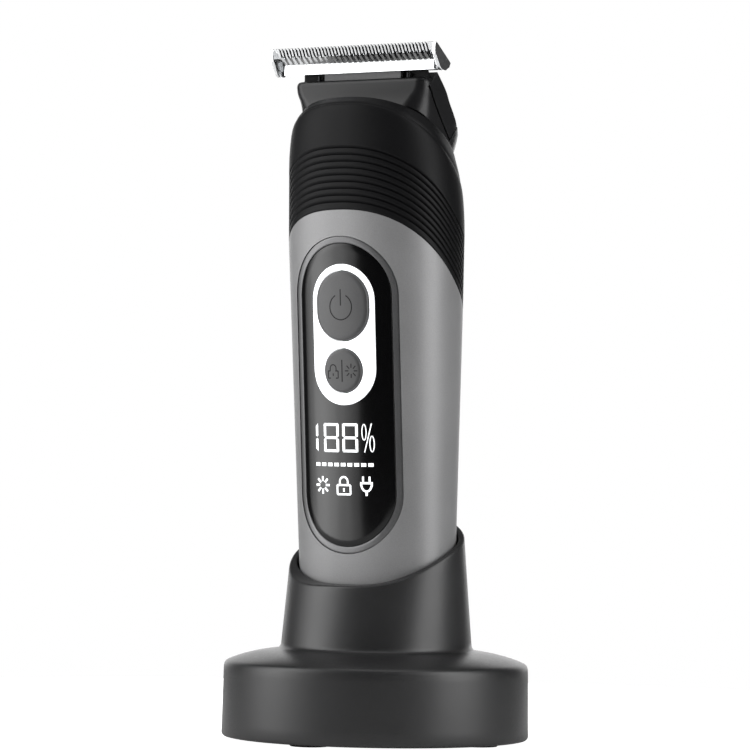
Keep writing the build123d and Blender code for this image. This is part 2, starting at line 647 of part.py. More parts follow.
with BuildPart() as head_shell:
    add(head_form.part)
    split(bisect_by=Plane.XY.offset(HEAD_TOP), keep=Keep.BOTTOM)
    add(head_cavity.part, mode=Mode.SUBTRACT)
    add(rim_space.part, mode=Mode.SUBTRACT)
    add(holder_block(25, (-12, 40), (0, 25)), mode=Mode.SUBTRACT)
    add(holder_block(25, (0, HOLDER_LENGTH), (-HOLDER_THICK, 1)), mode=Mode.SUBTRACT)
    with Locations((0, -7.3, 150.5)):
        Box(2 * MOUTH_HALF, 6.6, 5, mode=Mode.SUBTRACT)
save(head_shell, "head_shell")

SCREW_X, SCREW_ALONG = 5.0, 3.5
with BuildPart() as blade_holder:
    add(head_form.part)
    add(holder_block(25, (0.1, HOLDER_LENGTH - 0.1), (-HOLDER_THICK, 0)), mode=Mode.INTERSECT)
    add(holder_block(HOLDER_POCKET_HALF, (-1, 12), (-HOLDER_THICK - 1, -HOLDER_CENTRE_THICK)), mode=Mode.SUBTRACT)
    add(holder_block(LEG_HALF + 1.4, (-1, 20), (-HOLDER_THICK - 1, -HOLDER_CENTRE_THICK)), mode=Mode.SUBTRACT)
    add(holder_block(STEM_HALF + 0.05, (-1, STEM_LENGTH + 0.05), (-STEM_THICK, 1)), mode=Mode.SUBTRACT)
    with BuildSketch(holder_frame(SCREW_ALONG)):
        with GridLocations(2 * SCREW_X, 0, 2, 1):
            Circle(1.0)
    extrude(amount=-5, mode=Mode.SUBTRACT)
    with BuildSketch(holder_frame(5.3, -4.7)):
        with GridLocations(2 * 17.4, 0, 2, 1):
            Rectangle(2.0, 6.6)
    extrude(amount=0.9, mode=Mode.SUBTRACT)
save(blade_holder, "blade_holder")

BAR_PROFILE = ((-14.85, 157.75), (-14.55, 157.85), (-8.1, 153.55), (-8.7, 152.4), (-13.6, 155.65))
GUARD_PROFILE = ((-14.85, 157.75), (-14.55, 157.85), (-8.1, 153.55), (-8.7, 152.6), (-9.9, 151.7),
                 (-12.4, 151.7), (-15.0, 155.3))
with BuildPart() as fixed_blade:
    extrude(side_profile(BAR_PROFILE), amount=BLADE_HALF, both=True)
    with Locations((0, -13.9, 156)):
        with GridLocations(SLIT_PITCH, 0, TOOTH_SLITS, 1):
            Box(SLIT_WIDTH, 3.2, 8, mode=Mode.SUBTRACT)
    extrude(side_profile(GUARD_PROFILE, -BLADE_HALF), amount=GUARD_THICK)
    extrude(side_profile(GUARD_PROFILE, BLADE_HALF - GUARD_THICK), amount=GUARD_THICK)
    add(holder_block(STEM_HALF, (-2.2, STEM_LENGTH), (-STEM_THICK, 0)))
    with BuildSketch(holder_frame(SCREW_ALONG)):
        with GridLocations(2 * SCREW_X, 0, 2, 1):
            Circle(1.15)
    extrude(amount=-3, mode=Mode.SUBTRACT)
save(fixed_blade, "fixed_blade")

with BuildPart() as blade_screws:
    with BuildSketch(holder_frame(SCREW_ALONG)):
        with GridLocations(2 * SCREW_X, 0, 2, 1):
            Circle(1.9)
    extrude(amount=0.9)
    with BuildSketch(holder_frame(SCREW_ALONG)):
        with GridLocations(2 * SCREW_X, 0, 2, 1):
            Circle(0.95)
    extrude(amount=-2.9)
    with BuildSketch(holder_frame(SCREW_ALONG, 0.4)):
        with GridLocations(2 * SCREW_X, 0, 2, 1):
            Rectangle(2.2, 0.5)
            Rectangle(0.5, 2.2)
    extrude(amount=1, mode=Mode.SUBTRACT)
save(blade_screws, "blade_screws")

CUTTER_PROFILE = ((-14.1, 155.8), (-12.0, 154.15), (-12.0, 151.95), (-9.6, 151.95), (-9.6, 152.85))
with BuildPart() as moving_blade:
    extrude(side_profile(CUTTER_PROFILE), amount=MOVING_HALF, both=True)
    with Locations((0, -13.7, 155)):
        with GridLocations(MOVING_PITCH, 0, MOVING_GAPS, 1):
            Box(MOVING_GAP_WIDTH, 3.2, 6, mode=Mode.SUBTRACT)
save(moving_blade, "moving_blade")

LEG_PROFILE = ((-4.0, 131.2), (2.0, 131.2), (2.0, 137.0), (-8.9, 147.9), (-10.2, 147.9), (-10.2, 143.5),
               (-4.0, 137.3))
TAB_PROFILE = ((-10.2, 143.5), (-7.6, 140.9), (-5.5, 144.5), (-9.0, 148.0), (-9.0, 151.95), (-10.2, 151.95))
FORK_HALF = 2 * THROW + PIN_R + 0.2
with BuildPart() as blade_carrier:
    extrude(side_profile(LEG_PROFILE), amount=LEG_HALF, both=True)
    extrude(side_profile(TAB_PROFILE), amount=TAB_HALF, both=True)
    with Locations((0, MOTOR_Y, 134.1)):
        Box(2 * FORK_HALF, 7, 6, mode=Mode.SUBTRACT)
save(blade_carrier, "blade_carrier")

SPRING_X, SPRING_WIRE_R = 11.9, 0.4
spring_arm = ((-9.6, 151.7), (-9.6, 147.0), (4.6, 132.8))
with BuildPart() as blade_spring:
    with BuildLine() as spring_path:
        FilletPolyline(*[(SPRING_X, y, z) for y, z in spring_arm],
                       *[(-SPRING_X, y, z) for y, z in reversed(spring_arm)], radius=1.2)
    with BuildSketch(Plane(origin=spring_path.line @ 0, z_dir=spring_path.line % 0)):
        Circle(SPRING_WIRE_R)
    sweep()
save(blade_spring, "blade_spring")
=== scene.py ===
"""Body groomer standing in its charging dock: its visible surfaces, finishes, light and camera."""
from math import atan, cos, hypot, pi, radians, sin, sqrt

import bmesh
import bpy
from mathutils import Matrix, Vector


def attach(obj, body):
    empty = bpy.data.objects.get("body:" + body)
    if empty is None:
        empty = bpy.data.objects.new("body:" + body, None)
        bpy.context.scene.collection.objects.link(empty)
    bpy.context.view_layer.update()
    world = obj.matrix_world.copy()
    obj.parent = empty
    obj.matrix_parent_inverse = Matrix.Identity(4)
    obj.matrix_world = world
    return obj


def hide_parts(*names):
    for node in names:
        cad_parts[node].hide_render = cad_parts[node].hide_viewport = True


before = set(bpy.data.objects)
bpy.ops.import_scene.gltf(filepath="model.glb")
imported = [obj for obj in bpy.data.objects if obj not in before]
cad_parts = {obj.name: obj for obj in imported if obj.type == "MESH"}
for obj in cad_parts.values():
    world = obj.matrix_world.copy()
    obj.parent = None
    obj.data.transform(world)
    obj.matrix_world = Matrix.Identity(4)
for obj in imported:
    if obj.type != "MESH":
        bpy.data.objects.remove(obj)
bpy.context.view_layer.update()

MM = 0.001
SCENE = bpy.context.scene

# ---------------------------------------------------------------- finishes

CLOUD = 14  # size of the broad changes of colour and roughness, in mm
FINE_SHARE, BROAD_SHARE = 0.6, 0.4
FINE_DETAIL, BROAD_DETAIL = 3, 2
NOISE_RANGE = (0.3, 0.7)
COAT_ROUGHNESS = 0.04


def finish(name, colour, roughness, metallic=0.0, grain=0.5, depth=0.004, tint=0.12, spread=0.06,
           specular=0.5, coat=0.0, stretch=(1, 1, 1), glow=0.0, soften=0.0):
    """Procedural finish. grain and depth are the size and height of its fine texture in mm, tint how much
    its colour changes over the surface and spread how much its roughness does; soften rounds the shading
    of its edges over so many mm."""
    mat = bpy.data.materials.new(name)
    mat.use_nodes = True
    nodes, links = mat.node_tree.nodes, mat.node_tree.links
    shader = nodes["Principled BSDF"]
    shader.inputs["Metallic"].default_value = metallic
    shader.inputs["Specular IOR Level"].default_value = specular
    shader.inputs["Coat Weight"].default_value = coat
    shader.inputs["Coat Roughness"].default_value = COAT_ROUGHNESS
    if glow:
        shader.inputs["Emission Color"].default_value = (*colour, 1)
        shader.inputs["Emission Strength"].default_value = glow

    place = nodes.new("ShaderNodeTexCoord")
    mapping = nodes.new("ShaderNodeMapping")
    mapping.inputs["Scale"].default_value = stretch
    links.new(place.outputs["Object"], mapping.inputs["Vector"])
    fine = nodes.new("ShaderNodeTexNoise")
    fine.inputs["Scale"].default_value = 1 / (grain * MM)
    fine.inputs["Detail"].default_value = FINE_DETAIL
    links.new(mapping.outputs["Vector"], fine.inputs["Vector"])
    broad = nodes.new("ShaderNodeTexNoise")
    broad.inputs["Scale"].default_value = 1 / (CLOUD * MM)
    broad.inputs["Detail"].default_value = BROAD_DETAIL
    links.new(place.outputs["Object"], broad.inputs["Vector"])

    blend = nodes.new("ShaderNodeMath")
    blend.operation = "MULTIPLY_ADD"
    blend.inputs[1].default_value = FINE_SHARE
    links.new(fine.outputs["Fac"], blend.inputs[0])
    share = nodes.new("ShaderNodeMath")
    share.operation = "MULTIPLY"
    share.inputs[1].default_value = BROAD_SHARE
    links.new(broad.outputs["Fac"], share.inputs[0])
    links.new(share.outputs["Value"], blend.inputs[2])
    ramp = nodes.new("ShaderNodeValToRGB")
    for stop, position in zip(ramp.color_ramp.elements, NOISE_RANGE):
        stop.position = position
    for stop, factor in zip(ramp.color_ramp.elements, (1 - tint, 1 + tint)):
        stop.color = (*(min(1, c * factor) for c in colour), 1)
    links.new(blend.outputs["Value"], ramp.inputs["Fac"])
    links.new(ramp.outputs["Color"], shader.inputs["Base Color"])

    rough = nodes.new("ShaderNodeMapRange")
    rough.inputs["From Min"].default_value, rough.inputs["From Max"].default_value = NOISE_RANGE
    rough.inputs["To Min"].default_value = max(0.01, roughness - spread)
    rough.inputs["To Max"].default_value = roughness + spread
    links.new(blend.outputs["Value"], rough.inputs["Value"])
    links.new(rough.outputs["Result"], shader.inputs["Roughness"])

    bump = nodes.new("ShaderNodeBump")
    bump.inputs["Strength"].default_value = 1.0
    bump.inputs["Distance"].default_value = depth * MM
    links.new(fine.outputs["Fac"], bump.inputs["Height"])
    links.new(bump.outputs["Normal"], shader.inputs["Normal"])
    if soften:
        edges = nodes.new("ShaderNodeBevel")
        edges.inputs["Radius"].default_value = soften * MM
        links.new(edges.outputs["Normal"], bump.inputs["Normal"])
    return mat


FINISHES = {}
for finish_name, colour, roughness, extras in (
        ("dock_plastic", (0.012, 0.012, 0.0125), 0.4, dict(grain=0.45, depth=0.002, specular=0.45)),
        ("black_plastic", (0.0038, 0.0038, 0.0042), 0.5, dict(grain=0.35, depth=0.003, specular=0.1)),
        ("handle_paint", (0.18, 0.18, 0.182), 0.5, dict(metallic=0.3, grain=0.25, depth=0.001)),
        ("gloss_black", (0.0008, 0.0008, 0.001), 0.17,
         dict(grain=2, depth=0.0, spread=0.01, specular=0.34)),
        ("bezel_grey", (0.1, 0.1, 0.102), 0.35, dict(metallic=0.6, grain=0.3, depth=0.001)),
        # The light_guide finish is white plastic with painted glow: its emission lights up the key
        # surround, which is no lamp.
        ("light_guide", (0.85, 0.86, 0.88), 0.3, dict(grain=1, depth=0.0, tint=0.02, glow=0.8)),
        ("key_grey", (0.042, 0.042, 0.043), 0.45, dict(metallic=0.2, grain=0.3, depth=0.002)),
        ("head_plastic", (0.006, 0.006, 0.0065), 0.36, dict(depth=0.001, specular=0.26, soften=0.3)),
        ("blade_steel", (0.8, 0.81, 0.82), 0.16,
         dict(metallic=1, grain=0.6, depth=0.001, stretch=(0.15, 1, 1), spread=0.04)),
        # Painted shade: a near-black sheet sits inside the comb's slits, in place of the open slits that
        # would show only shade.
        ("painted_shade_black", (0.004, 0.004, 0.004), 0.7, dict(grain=0.6, depth=0.001, specular=0.1)),
        # Painted shade: a grey sheet fills the gaps between the moving blade's teeth, in place of the
        # shaded view through them.
        ("cutter_gap", (0.16, 0.16, 0.16), 0.5, dict(grain=0.6, depth=0.001, specular=0.3)),
        ("carrier_grey", (0.1, 0.1, 0.102), 0.45, dict(depth=0.002, specular=0.3)),
        ("spring_steel", (0.03, 0.03, 0.032), 0.4, dict(metallic=1, grain=0.8, depth=0.002)),
        ("plated_steel", (0.6, 0.61, 0.63), 0.3, dict(metallic=1, grain=0.8, depth=0.002)),
        ("ballast_steel", (0.33, 0.33, 0.34), 0.5, dict(metallic=1, grain=1.5, depth=0.01)),
        ("circuit_board", (0.012, 0.09, 0.035), 0.4, dict(grain=2.5, depth=0.01, coat=0.4)),
        ("gold_contact", (0.83, 0.58, 0.2), 0.22, dict(metallic=1, grain=0.6, depth=0.001)),
        ("rubber_black", (0.012, 0.012, 0.012), 0.75, dict(grain=0.3, depth=0.008)),
        ("display_light", (0.7, 0.71, 0.72), 0.4, dict(grain=1, depth=0.0, tint=0.02, glow=1.1)),
        ("key_print", (0.004, 0.004, 0.004), 0.6, dict(grain=0.4, depth=0.002, specular=0.2)),
        ("white_plastic", (0.7, 0.7, 0.68), 0.45, dict(grain=0.8, depth=0.003, tint=0.05)),
        ("cell_wrap", (0.05, 0.16, 0.38), 0.35, dict(grain=4, coat=0.3))):
    FINISHES[finish_name] = finish(finish_name, colour, roughness, **extras)

# ---------------------------------------------------------------- camera, floor and light

VIEW_AZIMUTH, VIEW_DISTANCE, VIEW_HEIGHT = radians(32.0), 885 * MM, 64 * MM
VIEW_ROLL = radians(1.0)
SENSOR = 36.0  # mm
FOCAL = 185.2128  # mm
AIM_UP, AIM_LEFT = 0.0220287151, 0.00155496812  # tangents of the angles from the dock's axis at eye height

camera = bpy.data.objects.new("camera", bpy.data.cameras.new("camera"))
SCENE.collection.objects.link(camera)
SCENE.camera = camera
camera.data.sensor_width = SENSOR
camera.data.lens = FOCAL
toward = Vector((-sin(VIEW_AZIMUTH), cos(VIEW_AZIMUTH), 0))
right = Vector((cos(VIEW_AZIMUTH), sin(VIEW_AZIMUTH), 0))
camera.location = -toward * VIEW_DISTANCE + Vector((0, 0, VIEW_HEIGHT))
turned = Matrix((right, Vector((0, 0, 1)), -toward)).transposed()
aim = Matrix.Rotation(atan(AIM_LEFT), 3, "Y") @ Matrix.Rotation(atan(AIM_UP), 3, "X")
camera.rotation_euler = (turned @ aim @ Matrix.Rotation(VIEW_ROLL, 3, "Z")).to_euler()
camera.data.clip_start, camera.data.clip_end = 0.05, 50

SCENE.view_settings.view_transform = "Standard"


def brighter_in_view(tree, socket, plain, shown):
    """Give a light strength one value on the object and another where the background itself is seen."""
    path = tree.nodes.new("ShaderNodeLightPath")
    span = tree.nodes.new("ShaderNodeMapRange")
    span.inputs["To Min"].default_value, span.inputs["To Max"].default_value = plain, shown
    tree.links.new(path.outputs["Is Camera Ray"], span.inputs["Value"])
    tree.links.new(span.outputs["Result"], socket)


world = bpy.data.worlds.new("studio")
SCENE.world = world
world.use_nodes = True
sky = world.node_tree.nodes["Background"]
sky.inputs["Color"].default_value = (1, 1, 1, 1)
WORLD_LIGHT, WHITE = 0.06, 1.0
brighter_in_view(world.node_tree, sky.inputs["Strength"], WORLD_LIGHT, WHITE)

floor_finish = bpy.data.materials.new("pale_floor")
floor_finish.use_nodes = True
floor_shader = floor_finish.node_tree.nodes["Principled BSDF"]
floor_shader.inputs["Base Color"].default_value = (0.8, 0.8, 0.8, 1)
floor_shader.inputs["Roughness"].default_value = 0.9
floor_shader.inputs["Specular IOR Level"].default_value = 0.1
floor_shader.inputs["Emission Color"].default_value = (1, 1, 1, 1)
brighter_in_view(floor_finish.node_tree, floor_shader.inputs["Emission Strength"], 0.0, WHITE)

FLOOR_RADIUS, FLOOR_SIDES = 0.24, 96
floor_mesh = bpy.data.meshes.new("floor")
floor_turns = [2 * pi * i / FLOOR_SIDES for i in range(FLOOR_SIDES)]
floor_mesh.from_pydata([(FLOOR_RADIUS * cos(turn), FLOOR_RADIUS * sin(turn), 0) for turn in floor_turns],
                       [], [tuple(range(FLOOR_SIDES))])
floor_mesh.materials.append(floor_finish)
floor = bpy.data.objects.new("floor", floor_mesh)
SCENE.collection.objects.link(floor)


def soft_light(name, azimuth, width, height, power, level=0.3, distance=1.3):
    """Area light that faces the object's axis. Its azimuth counts from the camera's side, to the right."""
    light = bpy.data.objects.new(name, bpy.data.lights.new(name, "AREA"))
    SCENE.collection.objects.link(light)
    light.data.shape, light.data.size, light.data.size_y = "RECTANGLE", width, height
    light.data.energy = power
    turn = VIEW_AZIMUTH + radians(azimuth)
    light.location = (sin(turn) * distance, -cos(turn) * distance, level)
    light.rotation_euler = (-light.location + Vector((0, 0, level))).to_track_quat("-Z", "Y").to_euler()
    light.visible_camera = False
    return light


# The left light is a row of strips, dim at its edges; a fill beside it lights only matt surfaces.
TALL = 3.0
STRIP_FIRST, STRIP_STEP, STRIP_WIDTH = -58, -8, 0.182
for strip, power in enumerate((3.0, 6.0, 8.8, 10.0, 8.8, 4.6, 1.8)):
    soft_light(f"soft_left_{strip}", STRIP_FIRST + STRIP_STEP * strip, STRIP_WIDTH, TALL, power)
soft_light("soft_fill", -46, 0.5, TALL, 12).visible_glossy = False
soft_light("soft_right", 64, 0.85, TALL, 42)
soft_light("soft_back", 180, 1.7, 0.7, 8, level=0.35)
overhead = soft_light("soft_top", 0, 1.2, 1.2, 6, level=1.6, distance=0.01)
overhead.rotation_euler = (0, 0, 0)

# ---------------------------------------------------------------- sizes shared with the frame, in mm

# Body: a superellipse whose half sizes and centre grow in proportion with height.
SECTION_EXPONENT, SECTION_Z = 2.35, 54.0
HALF_WIDTH, HALF_WIDTH_GROWTH = 19.1, 1.55 / 60
HALF_DEPTH, HALF_DEPTH_GROWTH = 13.43, 2.46 / 60
CENTRE_Y, CENTRE_Y_GROWTH = -0.78, -2.12 / 60
BODY_BOTTOM, WALL = 12.0, 2.0

# Slanted edges of the grip: height at y = 0 and fall in height for each mm towards the back.
GRIP_SEAM, GROOVE_EDGE, BEVEL_EDGE, RIM_EDGE = (103.3, 0.89), (118.2, 0.862), (129.4, 0.78), (135.7, 0.6)
GROOVE_INSET, GROOVE_SHIFT, BEVEL_INSET, BEVEL_SHIFT = 0.31, 0.42, 1.2, 0.6
RIM_INSET, RIM_SHIFT, RIM_WALL = 3.3, 0.8, 0.9
GROOVE_COUNT, GROOVE_PITCH, GROOVE_FIRST = 9, 1.553, 105.1

# Dock.
BASE_R, BASE_TOP_R, BASE_BOTTOM = 35.1, 34.8, 0.6
CREASE_R, CREASE_Z = 21.9, 20.8
COLLAR_TAPER_X, COLLAR_TAPER_Y = 0.046, 0.193
RIM_MEAN, RIM_SWING = 43.9, 8.6
RIM_FLANK_DROP, RIM_SOFTENING = 1.1, 25
RIM_OUTER_ROUND, RIM_INNER_ROUND = 0.45, 0.35
COLLAR_START, COLLAR_END = 0.1, 0.9  # heights above the crease and below the rim
FLARE, FLARE_SHARE = 0.45, 0.05  # how far the collar's foot flares out, and over what share of its height
WELL_CLEARANCE, WELL_OUTSIDE, WELL_START = 0.5, 2.0, 0.4
WELL_FLOOR, WELL_FLOOR_THICK = 11.7, 2
USB_Z, USB_WIDTH, USB_HEIGHT = 9.05, 9.6, 3.9

# Front panel.
PANEL_Z, PANEL_WIDTH, PANEL_HEIGHT = 78.5, 27.3, 72.0
BEZEL_BAND, LENS_SINK, LENS_THICK = 1.7, 0.35, 1.3
SURROUND_WIDTH, SURROUND_LOW, SURROUND_HIGH, SURROUND_THICK = 16.5, 76.2, 108.1, 1.6
POWER_WIDTH, POWER_HEIGHT, POWER_Z = 13.6, 15.7, 98.6
MODE_R, MODE_Z = 4.9, 84.0
KEY_GAP, KEY_PROUD, KEY_THICK, KEY_EDGE = 0.25, 0.5, 1.9, 0.35

# How finely each slot outline is divided: its arcs and its straight sides.
PANEL_FINE, SURROUND_FINE = dict(arc=40, side=30), dict(arc=32, side=12)
KEY_FINE, ROUND_FINE = dict(arc=32, side=4), dict(arc=40, side=1)

# ---------------------------------------------------------------- shape tools


def skin(rings, loop=False, cap_first=False, cap_last=False):
    """Points and faces of a surface through closed rings of equal length; loop joins last to first."""
    count = len(rings[0])
    points = [p for ring in rings for p in ring]
    faces = []
    for i in range(len(rings) - (0 if loop else 1)):
        a, b = i * count, (i + 1) % len(rings) * count
        faces += [(a + j, a + (j + 1) % count, b + (j + 1) % count, b + j) for j in range(count)]
    if cap_first:
        faces.append(tuple(reversed(range(count))))
    if cap_last:
        faces.append(tuple(range(len(points) - count, len(points))))
    return points, faces


def prism(outline, low, high):
    """Closed solid between two copies of an outline; low and high turn an outline point into a place."""
    return skin([[low(p) for p in outline], [high(p) for p in outline]], cap_first=True, cap_last=True)


def join(forms):
    """Several forms as one list of points and faces."""
    points, faces = [], []
    for form_points, form_faces in forms:
        start = len(points)
        points += form_points
        faces += [tuple(start + i for i in face) for face in form_faces]
    return points, faces


def raw_object(name, form):
    """Object from points in mm, with its faces turned outwards."""
    mesh = bpy.data.meshes.new(name)
    mesh.from_pydata([tuple(c * MM for c in p) for p in form[0]], [], form[1])
    work = bmesh.new()
    work.from_mesh(mesh)
    bmesh.ops.recalc_face_normals(work, faces=work.faces)
    work.to_mesh(mesh)
    work.free()
    obj = bpy.data.objects.new(name, mesh)
    SCENE.collection.objects.link(obj)
    return obj


def carve(obj, cutter_form, operation="DIFFERENCE"):
    """Cut a form out of an object, or keep only what they share."""
    cutter = raw_object(obj.name + "_cutter", cutter_form)
    modifier = obj.modifiers.new("carve", "BOOLEAN")
    modifier.operation, modifier.solver, modifier.object = operation, "EXACT", cutter
    shaped = obj.evaluated_get(bpy.context.evaluated_depsgraph_get())
    mesh = bpy.data.meshes.new_from_object(shaped)
    obj.modifiers.clear()
    old, obj.data = obj.data, mesh
    bpy.data.meshes.remove(old)
    bpy.data.objects.remove(cutter)
    return obj


def piece(name, form, body, finish_name, nodes=(), crease=38, keep=None, cuts=()):
    """Finished visible piece that rides on a body and stands for the given CAD nodes. Only the part of its
    form that lies in keep and outside the cuts remains."""
    obj = raw_object(name, form)
    if keep:
        carve(obj, keep, "INTERSECT")
    for cut in cuts:
        carve(obj, cut)
    obj.data.materials.clear()
    obj.data.materials.append(FINISHES[finish_name])
    obj.data.polygons.foreach_set("use_smooth", [True] * len(obj.data.polygons))
    obj.data.set_sharp_from_angle(angle=radians(crease))
    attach(obj, body)
    if nodes:
        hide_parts(*nodes)
    return obj


# ---------------------------------------------------------------- outlines

COLUMNS = 200


def signed_power(value, power):
    """Power of a value's size, with the value's own sign."""
    return abs(value) ** power * (1 if value > 0 else -1)


def body_ring(height, slope=0.0, inset=0.0, shift=0.0):
    """Outline of the body on the plane z = height - slope * y, moved in by inset and back by shift."""
    ring = []
    for i in range(COLUMNS):
        turn = 2 * pi * (i + 0.5) / COLUMNS
        unit_x = signed_power(cos(turn), 2 / SECTION_EXPONENT)
        unit_y = signed_power(sin(turn), 2 / SECTION_EXPONENT)
        growth = CENTRE_Y_GROWTH + HALF_DEPTH_GROWTH * unit_y
        level_y = CENTRE_Y + shift + (HALF_DEPTH - inset) * unit_y + growth * (height - SECTION_Z)
        y = level_y / (1 + slope * growth)
        z = height - slope * y
        ring.append(((HALF_WIDTH - inset + HALF_WIDTH_GROWTH * (z - SECTION_Z)) * unit_x, y, z))
    return ring


def handle_ring(share, inset=0.0, lift=0.0):
    """Outline of the handle at a share of the way from its foot to the slanted seam."""
    height = BODY_BOTTOM + (GRIP_SEAM[0] - BODY_BOTTOM) * share + lift
    return body_ring(height, GRIP_SEAM[1] * share, inset)


def grip_ring(height, inset=0.0):
    """Outline of the grooved part of the grip, which draws in evenly upwards from the seam."""
    share = (height - GRIP_SEAM[0]) / (GROOVE_EDGE[0] - GRIP_SEAM[0])
    slope = GRIP_SEAM[1] + (GROOVE_EDGE[1] - GRIP_SEAM[1]) * share
    return body_ring(height, slope, share * GROOVE_INSET + inset, share * GROOVE_SHIFT)


def span_ring(ends, insets, shifts, share, inset=0.0, lift=0.0):
    """Outline at a share of the way between two slanted edges, with their insets and shifts."""
    height, slope = (a + (b - a) * share for a, b in zip(*ends))
    return body_ring(height + lift, slope, insets[0] + (insets[1] - insets[0]) * share + inset,
                     shifts[0] + (shifts[1] - shifts[0]) * share)


def band_ring(share, inset=0.0):
    """Outline of the plain band between the grooves and the bevel, which draws in faster as it rises."""
    return span_ring((GROOVE_EDGE, BEVEL_EDGE), (GROOVE_INSET, GROOVE_INSET), (GROOVE_SHIFT, BEVEL_SHIFT),
                     share, inset + (BEVEL_INSET - GROOVE_INSET) * share * share)


def bevel_ring(share, inset=0.0, lift=0.0):
    """Outline of the bevel between its lower edge and the rim."""
    return span_ring((BEVEL_EDGE, RIM_EDGE), (BEVEL_INSET, RIM_INSET), (BEVEL_SHIFT, RIM_SHIFT),
                     share, inset, lift)


CUT_DEPTH = 10.0  # how far a front cutter reaches in and out
LEAN = HALF_DEPTH_GROWTH - CENTRE_Y_GROWTH  # how far the front leans out for each mm of height
UP = Vector((0, -LEAN, 1)).normalized()
OUTWARD = Vector((0, -1, -LEAN)).normalized()


def on_front(x, up, base_z, inset):
    """Point of the body's front that lies x across and up from the centre line at height base_z."""
    front_y = CENTRE_Y - HALF_DEPTH - LEAN * (base_z - SECTION_Z)
    foot = Vector((x, front_y, base_z)) + UP * up
    z = foot.z
    for _ in range(3):
        half_x = HALF_WIDTH - inset + HALF_WIDTH_GROWTH * (z - SECTION_Z)
        half_y = HALF_DEPTH - inset + HALF_DEPTH_GROWTH * (z - SECTION_Z)
        centre = CENTRE_Y + CENTRE_Y_GROWTH * (z - SECTION_Z)
        bow = (1 - min(1, abs(x / half_x)) ** SECTION_EXPONENT) ** (1 / SECTION_EXPONENT)
        sink = (centre - half_y * bow - foot.y) / -OUTWARD.y
        z = foot.z - OUTWARD.z * sink
    return foot - OUTWARD * sink


def stadium(width, height, arc=24, side=18):
    """Outline of an upright slot with round ends, as (across, up) from its centre."""
    radius, half = width / 2, max(0.0, height / 2 - width / 2)
    points = [(radius * cos(pi * i / arc), half + radius * sin(pi * i / arc)) for i in range(arc + 1)]
    points += [(-radius, half - 2 * half * i / side) for i in range(1, side)]
    points += [(-radius * cos(pi * i / arc), -half - radius * sin(pi * i / arc)) for i in range(arc + 1)]
    points += [(radius, 2 * half * i / side - half) for i in range(1, side)]
    return points


def slot_ring(width, height, base_z, inset, **count):
    """Upright slot outline that lies on the body's front, sunk by inset."""
    return [on_front(x, up, base_z, inset) for x, up in stadium(width, height, **count)]


def front_cutter(width, height, base_z, **count):
    """Straight upright slot that passes through the body's front."""
    centre = Vector((0, CENTRE_Y - HALF_DEPTH - LEAN * (base_z - SECTION_Z), base_z))
    outline = stadium(width, height, **count)

    def at(depth):
        return lambda p: centre + Vector((p[0], 0, 0)) + UP * p[1] - OUTWARD * depth

    return prism(outline, at(CUT_DEPTH), at(-CUT_DEPTH))


# ---------------------------------------------------------------- dock


def rim_height(x, y):
    """Height of the collar's rim, which rises from the front to the back."""
    radius = sqrt(x * x + y * y + RIM_SOFTENING)
    flank = 4 * (x * y / (radius * radius)) ** 2 if y < 0 else 0
    return RIM_MEAN + RIM_SWING * y / radius - RIM_FLANK_DROP * flank


TURNS = [2 * pi * (i + 0.5) / COLUMNS for i in range(COLUMNS)]


def round_ring(radius, z):
    """Circle about the dock's axis."""
    return [(radius * cos(turn), radius * sin(turn), z) for turn in TURNS]


def collar_radius(turn, z):
    """Distance from the dock's axis to the outer wall of the collar in one direction."""
    half_x = CREASE_R - COLLAR_TAPER_X * (z - CREASE_Z)
    half_y = CREASE_R - COLLAR_TAPER_Y * (z - CREASE_Z)
    return 1 / hypot(cos(turn) / half_x, sin(turn) / half_y)


def well_radius(turn, z, clearance=WELL_CLEARANCE):
    """Distance from the dock's axis to the wall of the well in one direction."""
    half_x = HALF_WIDTH + clearance + HALF_WIDTH_GROWTH * (z - SECTION_Z)
    half_y = HALF_DEPTH + clearance + HALF_DEPTH_GROWTH * (z - SECTION_Z)
    centre = CENTRE_Y + CENTRE_Y_GROWTH * (z - SECTION_Z)
    near, far = 5.0, 40.0
    for _ in range(36):
        middle = (near + far) / 2
        x, y = abs(middle * cos(turn) / half_x), abs((middle * sin(turn) - centre) / half_y)
        if x ** SECTION_EXPONENT + y ** SECTION_EXPONENT < 1:
            near = middle
        else:
            far = middle
    return near


def edge_z(turn, radius_at):
    """Height where a wall, whose radius depends on direction and height, meets the rim."""
    z = RIM_MEAN
    for _ in range(8):
        radius = radius_at(turn, z)
        z = rim_height(radius * cos(turn), radius * sin(turn))
    return z


def polar(turn, radius, z):
    """Point in one direction from the dock's axis, at a distance and a height."""
    return (radius * cos(turn), radius * sin(turn), z)


collar_top = [edge_z(turn, collar_radius) for turn in TURNS]
well_top = [edge_z(turn, well_radius) for turn in TURNS]


def collar_ring(drop, inset=0.0):
    """Outer wall of the collar, drop below its rim."""
    return [polar(t, collar_radius(t, top - drop) - inset, top - drop)
            for t, top in zip(TURNS, collar_top)]


def well_ring(drop, inset=0.0):
    """Wall of the well, drop below the rim and inset into the wall."""
    return [polar(t, well_radius(t, top - drop) + inset, top - drop) for t, top in zip(TURNS, well_top)]


def rim_ring(share):
    """Ring of the flat rim between the collar's edge and the well's."""
    ring = []
    for turn, outer_z, inner_z in zip(TURNS, collar_top, well_top):
        outer = collar_radius(turn, outer_z) - RIM_OUTER_ROUND
        inner = well_radius(turn, inner_z) + RIM_INNER_ROUND
        radius = outer + (inner - outer) * share
        ring.append(polar(turn, radius, rim_height(radius * cos(turn), radius * sin(turn))))
    return ring


FLOOR_RING = 0.3  # share of the well's radius where the last ring lies on its floor
